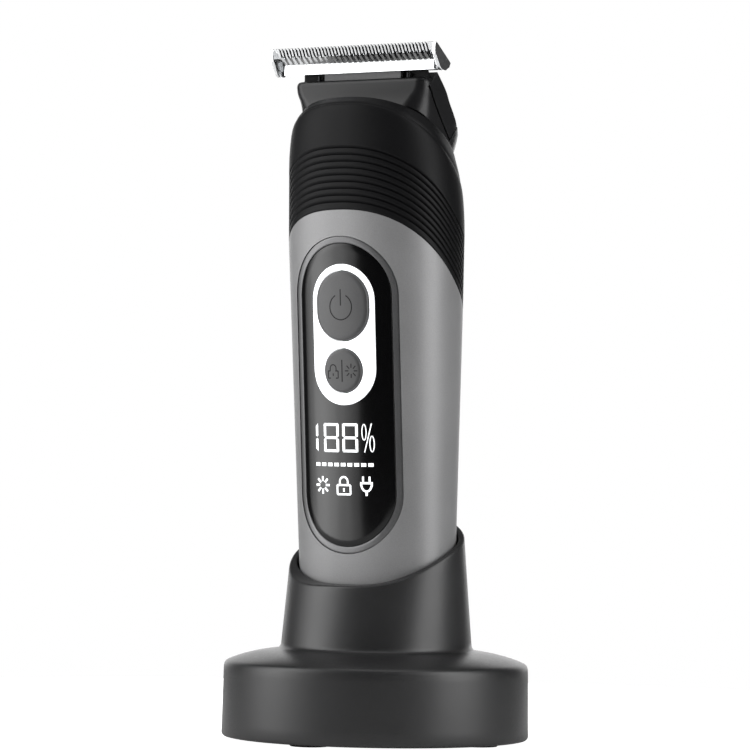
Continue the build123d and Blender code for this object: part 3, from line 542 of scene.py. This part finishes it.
# Radius and height, from the top of the outer wall over the dome to the crease.
dome = [(34.62, 17.3), (34.3, 17.72), (33.8, 18.0), (32.8, 18.43), (31.2, 18.98), (29.4, 19.5),
        (27.4, 19.97), (25.4, 20.33), (23.9, 20.55), (22.9, 20.68)]
dock_rings = [round_ring(radius, z) for radius, z in (
    (32.9, BASE_BOTTOM), (BASE_R - 0.8, BASE_BOTTOM), (BASE_R - 0.42, 0.68), (BASE_R - 0.12, 0.95),
    (BASE_R, 1.4), (BASE_R - 0.06, 4.0), (BASE_R - 0.14, 9.0), (BASE_TOP_R + 0.04, 15.0),
    (BASE_TOP_R, 16.6), *dome)]
for share in (0.0, 0.015, 0.035, 0.07, 0.15, 0.3, 0.45, 0.6, 0.75, 0.88):
    ring = []
    for turn, top in zip(TURNS, collar_top):
        z = CREASE_Z + COLLAR_START + (top - COLLAR_END - CREASE_Z) * share
        flare = FLARE * max(0.0, 1 - share / FLARE_SHARE) ** 2
        ring.append(polar(turn, collar_radius(turn, z) + flare, z))
    dock_rings.append(ring)
dock_rings += [collar_ring(0.6), collar_ring(0.4, 0.02), collar_ring(0.2, 0.1), collar_ring(0.07, 0.24)]
dock_rings += [rim_ring(share) for share in (0.0, 0.12, 0.3, 0.5, 0.7, 0.88, 1.0)]
dock_rings += [well_ring(0.06, 0.16), well_ring(0.18, 0.04), well_ring(WELL_START)]
for share in (0.1, 0.25, 0.45, 0.65, 0.85, 1.0):
    heights = [top - WELL_START - (top - WELL_START - WELL_FLOOR) * share for top in well_top]
    dock_rings.append([polar(t, well_radius(t, z), z) for t, z in zip(TURNS, heights)])
dock_rings.append([polar(t, well_radius(t, WELL_FLOOR) * FLOOR_RING, WELL_FLOOR) for t in TURNS])
underside = [round_ring(radius, z) for radius, z in (
    (32.9, BASE_BOTTOM), (32.7, 15.4), (32.0, 16.2), (27.5, 17.7), (21.2, 18.9))]
underside += [[polar(t, well_radius(t, z, WELL_OUTSIDE), z) for t in TURNS]
              for z in (18.9, WELL_FLOOR - WELL_FLOOR_THICK)]
USB_CUT = (30.0, 38.0)  # start and end of the inlet's opening, back from the dock's axis
usb_outline = [(x, USB_Z + up) for up, x in stadium(USB_HEIGHT, USB_WIDTH, arc=16, side=4)]
usb_cutter = prism(usb_outline, lambda p: (p[0], USB_CUT[0], p[1]), lambda p: (p[0], USB_CUT[1], p[1]))
piece("dock_housing", skin(list(reversed(underside))[:-1] + dock_rings, cap_first=True, cap_last=True),
      "dock", "dock_plastic", ["dock_shell"], crease=30, cuts=[usb_cutter])

# ---------------------------------------------------------------- handle and grip

# Foot edge, outer wall, seam edge and inner wall.
HANDLE_STEPS = 34
handle_rings = [handle_ring(0, 0.5), handle_ring(0, 0.15, 0.12), handle_ring(0, 0.0, 0.5)]
handle_rings += [handle_ring(0.01 + 0.985 * i / HANDLE_STEPS) for i in range(HANDLE_STEPS + 1)]
handle_rings += [handle_ring(1, 0.02, -0.2), handle_ring(1, 0.1, -0.06), handle_ring(1, 0.25)]
handle_rings += [handle_ring(1, WALL), handle_ring(0.5, WALL), handle_ring(0, WALL)]
piece("handle_housing", skin(handle_rings, loop=True), "groomer", "handle_paint", ["handle_sleeve"],
      cuts=[front_cutter(PANEL_WIDTH, PANEL_HEIGHT, PANEL_Z, **PANEL_FINE)])

# Height from the groove's middle, and depth.
GROOVE_PROFILE = ((-0.5, 0.0), (-0.36, 0.03), (-0.26, 0.14), (-0.17, 0.38), (-0.06, 0.5), (0.06, 0.5),
                  (0.17, 0.38), (0.26, 0.14), (0.36, 0.03), (0.5, 0.0))
seam = GRIP_SEAM[0]
grip_rings = [grip_ring(seam, WALL), grip_ring(seam, 0.3), grip_ring(seam + 0.06, 0.1),
              grip_ring(seam + 0.2, 0.02), grip_ring(seam + 0.5)]
for i in range(GROOVE_COUNT):
    groove = GROOVE_FIRST + i * GROOVE_PITCH
    grip_rings += [grip_ring(groove + along, sunk) for along, sunk in GROOVE_PROFILE]
grip_rings += [band_ring(share) for share in (0.03, 0.15, 0.4, 0.65, 0.82)]
grip_rings += [band_ring(0.9, 0.03), band_ring(0.96, 0.1), bevel_ring(0.0, 0.22), bevel_ring(0.05, 0.22),
               bevel_ring(0.11, 0.15), bevel_ring(0.19, 0.08), bevel_ring(0.28, 0.03)]
grip_rings += [bevel_ring(share) for share in (0.4, 0.55, 0.7, 0.85, 0.96)]
grip_rings += [bevel_ring(1, 0.04, -0.06), bevel_ring(1, 0.2, 0.02), bevel_ring(1, 0.5, 0.03),
               bevel_ring(1, RIM_WALL - 0.2, 0.02), bevel_ring(1, RIM_WALL, -0.15)]
grip_rings += [bevel_ring(share, WALL) for share in (0.5, 0.0)]
piece("grip_housing", skin(grip_rings, loop=True), "groomer", "black_plastic", ["grip_sleeve"])

# ---------------------------------------------------------------- front panel

lens_width, lens_height = PANEL_WIDTH - 2 * BEZEL_BAND, PANEL_HEIGHT - 2 * BEZEL_BAND
# Distance inwards from the panel's edge, and depth.
bezel_rows = ((0.1, 2.9), (0.1, 0.3), (0.13, 0.2), (0.22, 0.155), (0.5, 0.17), (0.9, 0.2), (1.3, 0.24),
              (1.5, 0.28), (1.58, 0.36), (1.65, 0.5), (1.65, 2.9))
bezel_rings = [slot_ring(PANEL_WIDTH - 2 * band, PANEL_HEIGHT - 2 * band, PANEL_Z, sunk, **PANEL_FINE)
               for band, sunk in bezel_rows]
piece("bezel_ring", skin(bezel_rings, loop=True), "groomer", "bezel_grey", ["panel_bezel"])

LAST_HALF_WIDTH = 0.08


def front_plate(width, height, base_z, sink, thick, edge=0.12, **count):
    """Plate with a softened edge that follows the body's front; it closes on its centre line."""
    top = [(0.0, thick), (0.0, edge), (0.3 * edge, 0.3 * edge), (edge, 0.0)]
    reach = width / 2 - LAST_HALF_WIDTH - edge
    rows = top + [(edge + reach * share, 0.0) for share in (0.12, 0.3, 0.5, 0.7, 0.86, 1.0)]
    rings = [slot_ring(width - 2 * step, height - 2 * step, base_z, sink + down, **count)
             for step, down in rows]
    return skin(rings, cap_first=True, cap_last=True)


surround_z, surround_height = (SURROUND_LOW + SURROUND_HIGH) / 2, SURROUND_HIGH - SURROUND_LOW
OPENING_PLAY = 0.1
piece("display_window",
      front_plate(lens_width, lens_height, PANEL_Z, LENS_SINK, LENS_THICK, **PANEL_FINE),
      "groomer", "gloss_black", ["display_lens"],
      cuts=[front_cutter(SURROUND_WIDTH + OPENING_PLAY, surround_height + OPENING_PLAY, surround_z,
                         **SURROUND_FINE)])
power_size, mode_size = (POWER_WIDTH, POWER_HEIGHT), (2 * MODE_R, 2 * MODE_R)
key_cuts = [front_cutter(width + 2 * KEY_GAP, height + 2 * KEY_GAP, z, **fine)
            for (width, height), z, fine in ((power_size, POWER_Z, KEY_FINE),
                                             (mode_size, MODE_Z, ROUND_FINE))]
# The key surround glows with painted light from its finish's emission; it is no lamp.
piece("key_surround",
      front_plate(SURROUND_WIDTH, surround_height, surround_z, LENS_SINK, SURROUND_THICK, **SURROUND_FINE),
      "groomer", "light_guide", ["button_surround"], cuts=key_cuts)
KEY_SINK = LENS_SINK - KEY_PROUD
piece("power_key_cap", front_plate(*power_size, POWER_Z, KEY_SINK, KEY_THICK, KEY_EDGE, **KEY_FINE),
      "power_key", "key_grey", ["power_button"])
piece("mode_key_cap", front_plate(*mode_size, MODE_Z, KEY_SINK, KEY_THICK, KEY_EDGE, **ROUND_FINE),
      "mode_key", "key_grey", ["mode_button"])

# ---------------------------------------------------------------- marks on the panel


def mark(outline, base_z, sink, thick=0.04):
    """Thin printed shape on the front; its outline is (across, up) from the centre line at base_z."""
    return prism(outline, lambda p: on_front(p[0], p[1], base_z, sink + thick),
                 lambda p: on_front(p[0], p[1], base_z, sink))


def stroke(points, width, base_z, sink, closed=False):
    """Line of even width along points; each run is a quad that ends square at mitred corners."""
    count = len(points)
    sides = ([], [])
    for i, (x, up) in enumerate(points):
        before = points[(i - 1) % count] if closed or i else (x, up)
        after = points[(i + 1) % count] if closed or i < count - 1 else (x, up)
        run = Vector((after[0] - before[0], after[1] - before[1])).normalized()
        for side, sign in zip(sides, (1, -1)):
            side.append((x - run.y * sign * width / 2, up + run.x * sign * width / 2))
    forms = []
    for i in range(count if closed else count - 1):
        j = (i + 1) % count
        forms.append(mark([sides[0][i], sides[0][j], sides[1][j], sides[1][i]], base_z, sink))
    return join(forms)


def arc_points(centre, radius, start, end, steps, stretch=1.0):
    """Points of an arc between two angles in degrees; stretch makes it taller."""
    turns = [radians(start + (end - start) * i / steps) for i in range(steps + 1)]
    return [(centre[0] + radius * cos(t), centre[1] + stretch * radius * sin(t)) for t in turns]


RAYS = 8


def sun_mark(centre, inner, outer, width, base_z, sink):
    """Short rays all round."""
    forms = []
    for i in range(RAYS):
        turn = 2 * pi * i / RAYS
        ends = [(centre[0] + r * cos(turn), centre[1] + r * sin(turn)) for r in (inner, outer)]
        forms.append(stroke(ends, width, base_z, sink))
    return join(forms)


def lock_mark(centre, half_width, width, base_z, sink):
    """Padlock: a box with a keyhole under a shackle."""
    x, up = centre
    low, high = up - 1.15 * half_width, up + 0.05 * half_width
    box = [(x - half_width, low), (x + half_width, low), (x + half_width, high), (x - half_width, high)]
    loop_r = 0.6 * half_width
    shackle = [(x + loop_r, high)] + arc_points((x, high + 0.45 * half_width), loop_r, 0, 180, 14)
    shackle.append((x - loop_r, high))
    runs = [stroke([box[i], box[(i + 1) % 4]], width, base_z, sink) for i in range(4)]
    keyhole = stroke([(x, low + 0.35 * half_width), (x, low + 0.8 * half_width)], width, base_z, sink)
    return join(runs + [stroke(shackle, width, base_z, sink), keyhole])


DIGIT_LOW, DIGIT_HIGH = 65.6, 72.15
DIGIT_MIDDLE, DIGIT_HALF = (DIGIT_LOW + DIGIT_HIGH) / 2, (DIGIT_HIGH - DIGIT_LOW) / 2
SEGMENT_W, SEGMENT_H, SEGMENT_GAP = 0.76, 0.6, 0.11
MIDDLE_TIP, SIDE_TIP, SIDE_TRIM = 0.35, 0.28, 0.1
MARK_SINK = LENS_SINK - 0.08


def digit(left, right, shown):
    """Seven-segment digit; shown names its lit segments: t, m, b, and upper or lower l and r."""
    outlines = {}
    for key, sign in (("t", 1), ("b", -1)):
        out, inn = sign * DIGIT_HALF, sign * (DIGIT_HALF - SEGMENT_H)
        outlines[key] = [(left + SEGMENT_GAP, out), (right - SEGMENT_GAP, out),
                         (right - SEGMENT_W, inn), (left + SEGMENT_W, inn)]
    half = SEGMENT_H / 2
    outlines["m"] = [(left + MIDDLE_TIP, 0), (left + SEGMENT_W, half), (right - SEGMENT_W, half),
                     (right - MIDDLE_TIP, 0), (right - SEGMENT_W, -half), (left + SEGMENT_W, -half)]
    for key, sign in (("u", 1), ("d", -1)):
        top, near = sign * (DIGIT_HALF - SEGMENT_GAP), sign * SEGMENT_GAP * 1.5
        inner_top, inner_near = sign * (DIGIT_HALF - SEGMENT_H - SEGMENT_GAP), sign * (half + SEGMENT_GAP)
        for side, edge, inwards in (("l", left, 1), ("r", right, -1)):
            inner = edge + inwards * (SEGMENT_W - SIDE_TRIM)
            outlines[key + side] = [(edge, top), (inner, inner_top), (inner, inner_near),
                                    (edge + inwards * SIDE_TIP, near), (edge, inner_near)]
    return join([mark(outlines[key], DIGIT_MIDDLE, MARK_SINK) for key in shown])


ALL_SEGMENTS = ("t", "m", "b", "ul", "ur", "dl", "dr")
DIGITS = ((-10.9, -7.5, ("ur", "dr")), (-5.75, -1.55, ALL_SEGMENTS), (-0.6, 3.5, ALL_SEGMENTS))
RING_LINE, RING_R, RING_STRETCH, RING_STEPS = 0.22, 0.52, 3.4, 28
BAR_LINE, BAR_START, BAR_END = 0.24, (5.1, -DIGIT_HALF), (6.9, DIGIT_HALF)
percent = []
for centre in ((5.05, 1.3), (6.95, -1.35)):
    ring_line = arc_points(centre, RING_R, 0, 360, RING_STEPS, RING_STRETCH)
    percent.append(stroke(ring_line, RING_LINE, DIGIT_MIDDLE, MARK_SINK))
percent.append(stroke([BAR_START, BAR_END], BAR_LINE, DIGIT_MIDDLE, MARK_SINK))
reading = join([digit(*place) for place in DIGITS] + percent)
piece("display_reading", reading, "groomer", "display_light")

GAUGE_Z, DASH_COUNT, DASH_FIRST, DASH_STEP, DASH_LONG, DASH_TALL = 62.8, 9, -8.3, 1.78, 1.25, 0.8
dash_starts = [DASH_FIRST + DASH_STEP * i for i in range(DASH_COUNT)]
dashes = [stroke([(x, 0), (x + DASH_LONG, 0)], DASH_TALL, GAUGE_Z, MARK_SINK) for x in dash_starts]
piece("display_gauge", join(dashes), "groomer", "display_light")

ICON_Z = 58.1
PLUG_X, PLUG_LINE = 5.35, 0.46
plug = [stroke([(PLUG_X + side, 0.75), (PLUG_X + side, 2.1)], PLUG_LINE, ICON_Z, MARK_SINK)
        for side in (-0.8, 0.8)]
plug += [stroke([(PLUG_X - 1.55, 0.6), (PLUG_X + 1.55, 0.6)], 0.48, ICON_Z, MARK_SINK),
         stroke(arc_points((PLUG_X, 0.5), 1.32, 180, 360, 20, 1.35), PLUG_LINE, ICON_Z, MARK_SINK),
         stroke([(PLUG_X, -1.3), (PLUG_X, -2.3)], 0.5, ICON_Z, MARK_SINK)]
icons = join([sun_mark((-6.4, 0.0), 0.85, 2.0, 0.5, ICON_Z, MARK_SINK),
              lock_mark((-0.5, 0.0), 1.75, 0.44, ICON_Z, MARK_SINK), *plug])
piece("display_icons", icons, "groomer", "display_light")

KEY_MARK_SINK, KEY_LINE = KEY_SINK - 0.015, 0.26
power_sign = join([stroke(arc_points((0, -0.2), 2.9, 118, 422, 60), KEY_LINE, POWER_Z, KEY_MARK_SINK),
                   stroke([(0, 0.1), (0, 3.8)], KEY_LINE, POWER_Z, KEY_MARK_SINK)])
piece("power_key_sign", power_sign, "power_key", "key_print")
mode_sign = join([stroke([(0, -2.5), (0, 2.5)], KEY_LINE, MODE_Z, KEY_MARK_SINK),
                  lock_mark((-2.4, -0.1), 1.35, 0.25, MODE_Z, KEY_MARK_SINK),
                  sun_mark((2.4, 0.0), 0.7, 1.6, 0.25, MODE_Z, KEY_MARK_SINK)])
piece("mode_key_sign", mode_sign, "mode_key", "key_print")

# ---------------------------------------------------------------- blade head


def across(profile, start, end):
    """Solid with a closed (y, z) profile between two places across the body."""
    return prism(profile, lambda p: (start, *p), lambda p: (end, *p))


MOST_OF_SIDE = 0.45  # largest share of a side that one rounded corner takes up


def rounded(outline, radius, steps=5):
    """Outline with each of its corners rounded off over the given length."""
    smooth = []
    for i, corner in enumerate(outline):
        here = Vector(corner)
        start, end = (here + (near - here).normalized() * min(radius, (near - here).length * MOST_OF_SIDE)
                      for near in (Vector(outline[i - 1]), Vector(outline[(i + 1) % len(outline)])))
        for step in range(steps + 1):
            t = step / steps
            smooth.append(tuple(start * (1 - t) ** 2 + here * 2 * t * (1 - t) + end * t * t))
    return smooth


HOLDER_Y, HOLDER_Z, HOLDER_THICK, HOLDER_LENGTH, HOLDER_GAP = -6.5, 152.0, 5.2, 16.3, 0.65
SLANT = sqrt(0.5)  # share of a length on the 45 degree slope that runs level, and that rises


def on_holder(x, along, above):
    """Place on the holder's slope: along runs down it towards the back, above stands off it."""
    return (x, HOLDER_Y + (along + above) * SLANT, HOLDER_Z + (above - along) * SLANT)


def holder_block(half_width, along, above):
    """Block on the holder's slope; along and above are (from, to)."""
    corners = [(along[0], above[0]), (along[1], above[0]), (along[1], above[1]), (along[0], above[1])]
    return prism(corners, lambda p: on_holder(-half_width, *p), lambda p: on_holder(half_width, *p))


# Height, half width, front y, back y, front corner radius, back corner radius.
HEAD_LEVELS = (
    (128.6, 15.9, -14.4, 8.0, 9.0, 10.5),
    (133.0, 16.2, -14.6, 10.8, 8.0, 11.0),
    (138.0, 16.5, -14.3, 12.4, 7.0, 10.5),
    (142.0, 16.8, -13.4, 12.6, 6.2, 10.5),
    (145.5, 17.2, -12.2, 12.6, 4.2, 10.5),
    (148.0, 17.7, -12.0, 12.6, 2.8, 10.5),
    (153.6, 17.6, -12.6, 12.6, 2.4, 10.5),
)
HEAD_TOP = 150.4


def head_level(z):
    """Sizes of the head's outline at a height, eased between its levels."""
    i = max(k for k in range(len(HEAD_LEVELS) - 1) if HEAD_LEVELS[k][0] <= z or k == 0)
    low, high = HEAD_LEVELS[i], HEAD_LEVELS[i + 1]
    before, after = HEAD_LEVELS[max(0, i - 1)], HEAD_LEVELS[min(len(HEAD_LEVELS) - 1, i + 2)]
    span = high[0] - low[0]
    t = (z - low[0]) / span
    sizes = []
    for k in range(1, 6):
        leave = (high[k] - before[k]) / (high[0] - before[0]) * span
        arrive = (after[k] - low[k]) / (after[0] - low[0]) * span
        sizes.append((2 * t ** 3 - 3 * t * t + 1) * low[k] + (t ** 3 - 2 * t * t + t) * leave
                     + (3 * t * t - 2 * t ** 3) * high[k] + (t ** 3 - t * t) * arrive)
    return sizes


LEAST_ROUND = 0.8


def head_ring(z, inset=0.0, arc=10):
    """Outline of the head at a height: straight sides between rounded corners."""
    half, front, back, front_r, back_r = head_level(z)
    half, front, back = half - inset, front + inset, back - inset
    front_r, back_r = max(LEAST_ROUND, front_r - inset), max(LEAST_ROUND, back_r - inset)
    corners = ((half - back_r, back - back_r, back_r, 0),
               (-half + back_r, back - back_r, back_r, 90),
               (-half + front_r, front + front_r, front_r, 180),
               (half - front_r, front + front_r, front_r, 270))
    return [(x + r * cos(radians(start + 90 * i / arc)), y + r * sin(radians(start + 90 * i / arc)), z)
            for x, y, r, start in corners for i in range(arc + 1)]


# Space that the grip's rim takes up around the neck, with a gap to spare.
NECK_GAP, RIM_SPACE_FOOT, RIM_SPACE_REACH = 0.4, 112, -4
rim_top, rim_foot = (RIM_EDGE[0] + NECK_GAP, RIM_EDGE[1]), (RIM_SPACE_FOOT, RIM_EDGE[1])
neck = (RIM_INSET + RIM_WALL + NECK_GAP, RIM_SHIFT)
rim_space = skin([body_ring(*rim_foot, RIM_SPACE_REACH), body_ring(*rim_top, RIM_SPACE_REACH),
                  body_ring(*rim_top, *neck), body_ring(*rim_foot, *neck)], loop=True)
CAVITY_HALF, CAVITY_FRONT, CAVITY_BACK, CAVITY_LOW, CAVITY_HIGH = 12.9, -10.7, 6.4, 127.6, 149.0
# The cavity's back wall thickens to a stop for the holder's lower end.
cavity = across(((CAVITY_FRONT, CAVITY_LOW), (CAVITY_BACK, CAVITY_LOW), (CAVITY_BACK, 136.55),
                 (2.48, 140.47), (CAVITY_BACK, 144.4), (CAVITY_BACK, CAVITY_HIGH),
                 (CAVITY_FRONT, CAVITY_HIGH)), -CAVITY_HALF, CAVITY_HALF)
MOUTH_HALF, MOUTH_FRONT, MOUTH_BACK, MOUTH_LOW, MOUTH_HIGH = 14.2, -10.6, -4.0, 148.0, 153.0
mouth = across(((MOUTH_FRONT, MOUTH_LOW), (MOUTH_BACK, MOUTH_LOW), (MOUTH_BACK, MOUTH_HIGH),
                (MOUTH_FRONT, MOUTH_HIGH)), -MOUTH_HALF, MOUTH_HALF)
head_foot, LIP_START, HEAD_STEPS = HEAD_LEVELS[0][0], 149.0, 22
head_rings = [head_ring(head_foot + (LIP_START - head_foot) * i / HEAD_STEPS)
              for i in range(HEAD_STEPS + 1)]
head_rings += [head_ring(HEAD_TOP - down, inset)
               for down, inset in ((1.0, 0.04), (0.6, 0.16), (0.3, 0.38), (0.1, 0.65), (0.0, 1.05))]
WIDE = 25  # half width of a block that cuts right across the head
piece("head_housing", skin(head_rings, cap_first=True, cap_last=True), "blade_head", "head_plastic",
      ["head_shell"], crease=32,
      cuts=[cavity, rim_space, holder_block(WIDE, (-12, 40), (0, 25)),
            holder_block(WIDE, (0, HOLDER_LENGTH), (-HOLDER_THICK, 1)), mouth])

full_top, FULL_STEPS = HEAD_LEVELS[-1][0], 28
whole_head = skin([head_ring(head_foot + (full_top - head_foot) * i / FULL_STEPS, 0.05)
                   for i in range(FULL_STEPS + 1)], cap_first=True, cap_last=True)
STEM_HALF, STEM_START, STEM_END, STEM_THICK = 9.0, -2.2, 7.5, 1.28
under_holder = (-HOLDER_THICK - 1, -3.0)
# Hollow on the holder's inner side, a narrower one right through its lower end, and the stem's pocket.
seat_cuts = [holder_block(13.6, (-1, 12), under_holder), holder_block(6.8, (-1, 20), under_holder),
             holder_block(STEM_HALF + 0.05, (-1, STEM_END + 0.05), (-STEM_THICK - 0.02, 1))]
piece("blade_seat", holder_block(WIDE, (0.15, HOLDER_LENGTH - 0.3), (HOLDER_GAP - HOLDER_THICK, -0.02)),
      "blade_head", "head_plastic", ["blade_holder"], crease=32, keep=whole_head, cuts=seat_cuts)

LEDGE_HALF, LEDGE_FRONT, LEDGE_BACK, LEDGE_LOW = 16.6, -8.8, -7.0, 149.4
ledge = ((LEDGE_FRONT, LEDGE_LOW), (LEDGE_FRONT, 152.25), (LEDGE_BACK, 150.45), (LEDGE_BACK, LEDGE_LOW))
piece("head_ledge", across(ledge, -LEDGE_HALF, LEDGE_HALF), "blade_head", "black_plastic")

BLADE_HALF, GUARD_THICK = 22.2, 0.9
TOOTH_SLITS, SLIT_PITCH, SLIT_WIDTH = 45, 0.894, 0.42
TOOTH_PROFILE = ((-14.85, 157.75), (-14.55, 157.85), (-13.0, 156.82), (-13.0, 155.25), (-13.6, 155.65))
BACK_PROFILE = ((-13.05, 156.85), (-8.1, 153.55), (-8.7, 152.4), (-13.05, 155.28))
# Profile of the near-black sheet inside the comb's slits: painted shade in place of the open slits.
SLIT_SHADE_SHEET = ((-14.3, 157.3), (-14.15, 157.5), (-13.0, 156.75), (-13.0, 155.35), (-13.3, 155.6))
GUARD_PROFILE = ((-14.85, 157.75), (-14.45, 157.85), (-8.1, 153.55), (-8.7, 152.6), (-9.9, 151.7),
                 (-12.4, 151.7), (-15.0, 155.3))


def tooth(profile, x, tip_half, root_half, tip_y):
    """Comb tooth centred on x that is narrower where its profile lies in front of tip_y."""
    def side(sign):
        return lambda p: (x + sign * (tip_half if p[0] < tip_y else root_half), *p)
    return prism(profile, side(-1), side(1))


tooth_half = (SLIT_PITCH - SLIT_WIDTH) / 2
land = (TOOTH_SLITS - 1) / 2 * SLIT_PITCH + SLIT_WIDTH / 2
END_GAP, TIP_TRIM, TIP_Y = 0.1, 0.05, -14
comb = [tooth(TOOTH_PROFILE, (i - TOOTH_SLITS / 2 + 1) * SLIT_PITCH, tooth_half - TIP_TRIM,
              tooth_half, TIP_Y) for i in range(TOOTH_SLITS - 1)]
comb += [across(BACK_PROFILE, -BLADE_HALF + END_GAP, BLADE_HALF - END_GAP),
         across(TOOTH_PROFILE, -BLADE_HALF + END_GAP, -land),
         across(TOOTH_PROFILE, land, BLADE_HALF - END_GAP)]

# End guards, with a fine chamfer around each face.
GUARD_CHAMFER, GUARD_ROUND = 0.12, 0.7
guard_line, inner = rounded(GUARD_PROFILE, GUARD_ROUND), rounded(GUARD_PROFILE, GUARD_ROUND + 0.2)
middle = Vector((sum(p[0] for p in inner), sum(p[1] for p in inner))) / len(inner)
inner = [tuple(Vector(p) + (middle - Vector(p)).normalized() * GUARD_CHAMFER) for p in inner]
for start in (-BLADE_HALF, BLADE_HALF - GUARD_THICK):
    end = start + GUARD_THICK
    layers = ((start, inner), (start + GUARD_CHAMFER, guard_line),
              (end - GUARD_CHAMFER, guard_line), (end, inner))
    comb.append(skin([[(x, *p) for p in line] for x, line in layers], cap_first=True, cap_last=True))
comb.append(holder_block(STEM_HALF, (STEM_START, STEM_END), (-STEM_THICK, 0.0)))
piece("comb_blade", join(comb), "blade_head", "blade_steel", ["fixed_blade"], crease=25)
# The slit sheet is painted shade: near-black where the open slits would show shade.
piece("comb_slit_painted_shade", across(SLIT_SHADE_SHEET, -land, land), "blade_head", "painted_shade_black")

MOVING_HALF, MOVING_GAPS, MOVING_PITCH, MOVING_GAP_WIDTH = 20.05, 27, 1.44, 0.66
CUTTER_TOOTH = ((-14.1, 155.8), (-12.05, 154.19), (-12.05, 154.46))
CUTTER_BAR = ((-12.1, 154.49), (-12.1, 154.2), (-12.0, 154.08), (-12.0, 151.95), (-9.6, 151.95),
              (-9.6, 152.85))
# Profile of the grey sheet inside the moving blade's gaps: painted shade in place of the view through
# them.
CUTTER_SHADE_SHEET = ((-13.75, 155.55), (-12.05, 154.25), (-12.05, 154.44))
cutter_half = (MOVING_PITCH - MOVING_GAP_WIDTH) / 2
cutter_land = (MOVING_GAPS - 1) / 2 * MOVING_PITCH + MOVING_GAP_WIDTH / 2
CUTTER_TRIM, CUTTER_GROWTH, CUTTER_TIP_Y = 0.1, 0.06, -13
cutter = [tooth(CUTTER_TOOTH, (i - MOVING_GAPS / 2 + 1) * MOVING_PITCH, cutter_half - CUTTER_TRIM,
                cutter_half + CUTTER_GROWTH, CUTTER_TIP_Y) for i in range(MOVING_GAPS - 1)]
cutter += [across(CUTTER_BAR, -MOVING_HALF, MOVING_HALF), across(CUTTER_TOOTH, -MOVING_HALF, -cutter_land),
           across(CUTTER_TOOTH, cutter_land, MOVING_HALF)]
piece("cutter_blade", join(cutter), "cutter", "blade_steel", ["moving_blade"], crease=25)
# The gap sheet is painted shade: grey where the open gaps would show shade.
piece("cutter_gap_floors", across(CUTTER_SHADE_SHEET, -cutter_land, cutter_land), "cutter", "cutter_gap")

# ---------------------------------------------------------------- carried-over parts

OWN_FINISH = {"blade_spring": "spring_steel", "blade_carrier": "carrier_grey"}
for name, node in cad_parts.items():
    for spot in node.material_slots:
        spot.material = FINISHES[OWN_FINISH.get(name, spot.material.name.split(".")[0])]
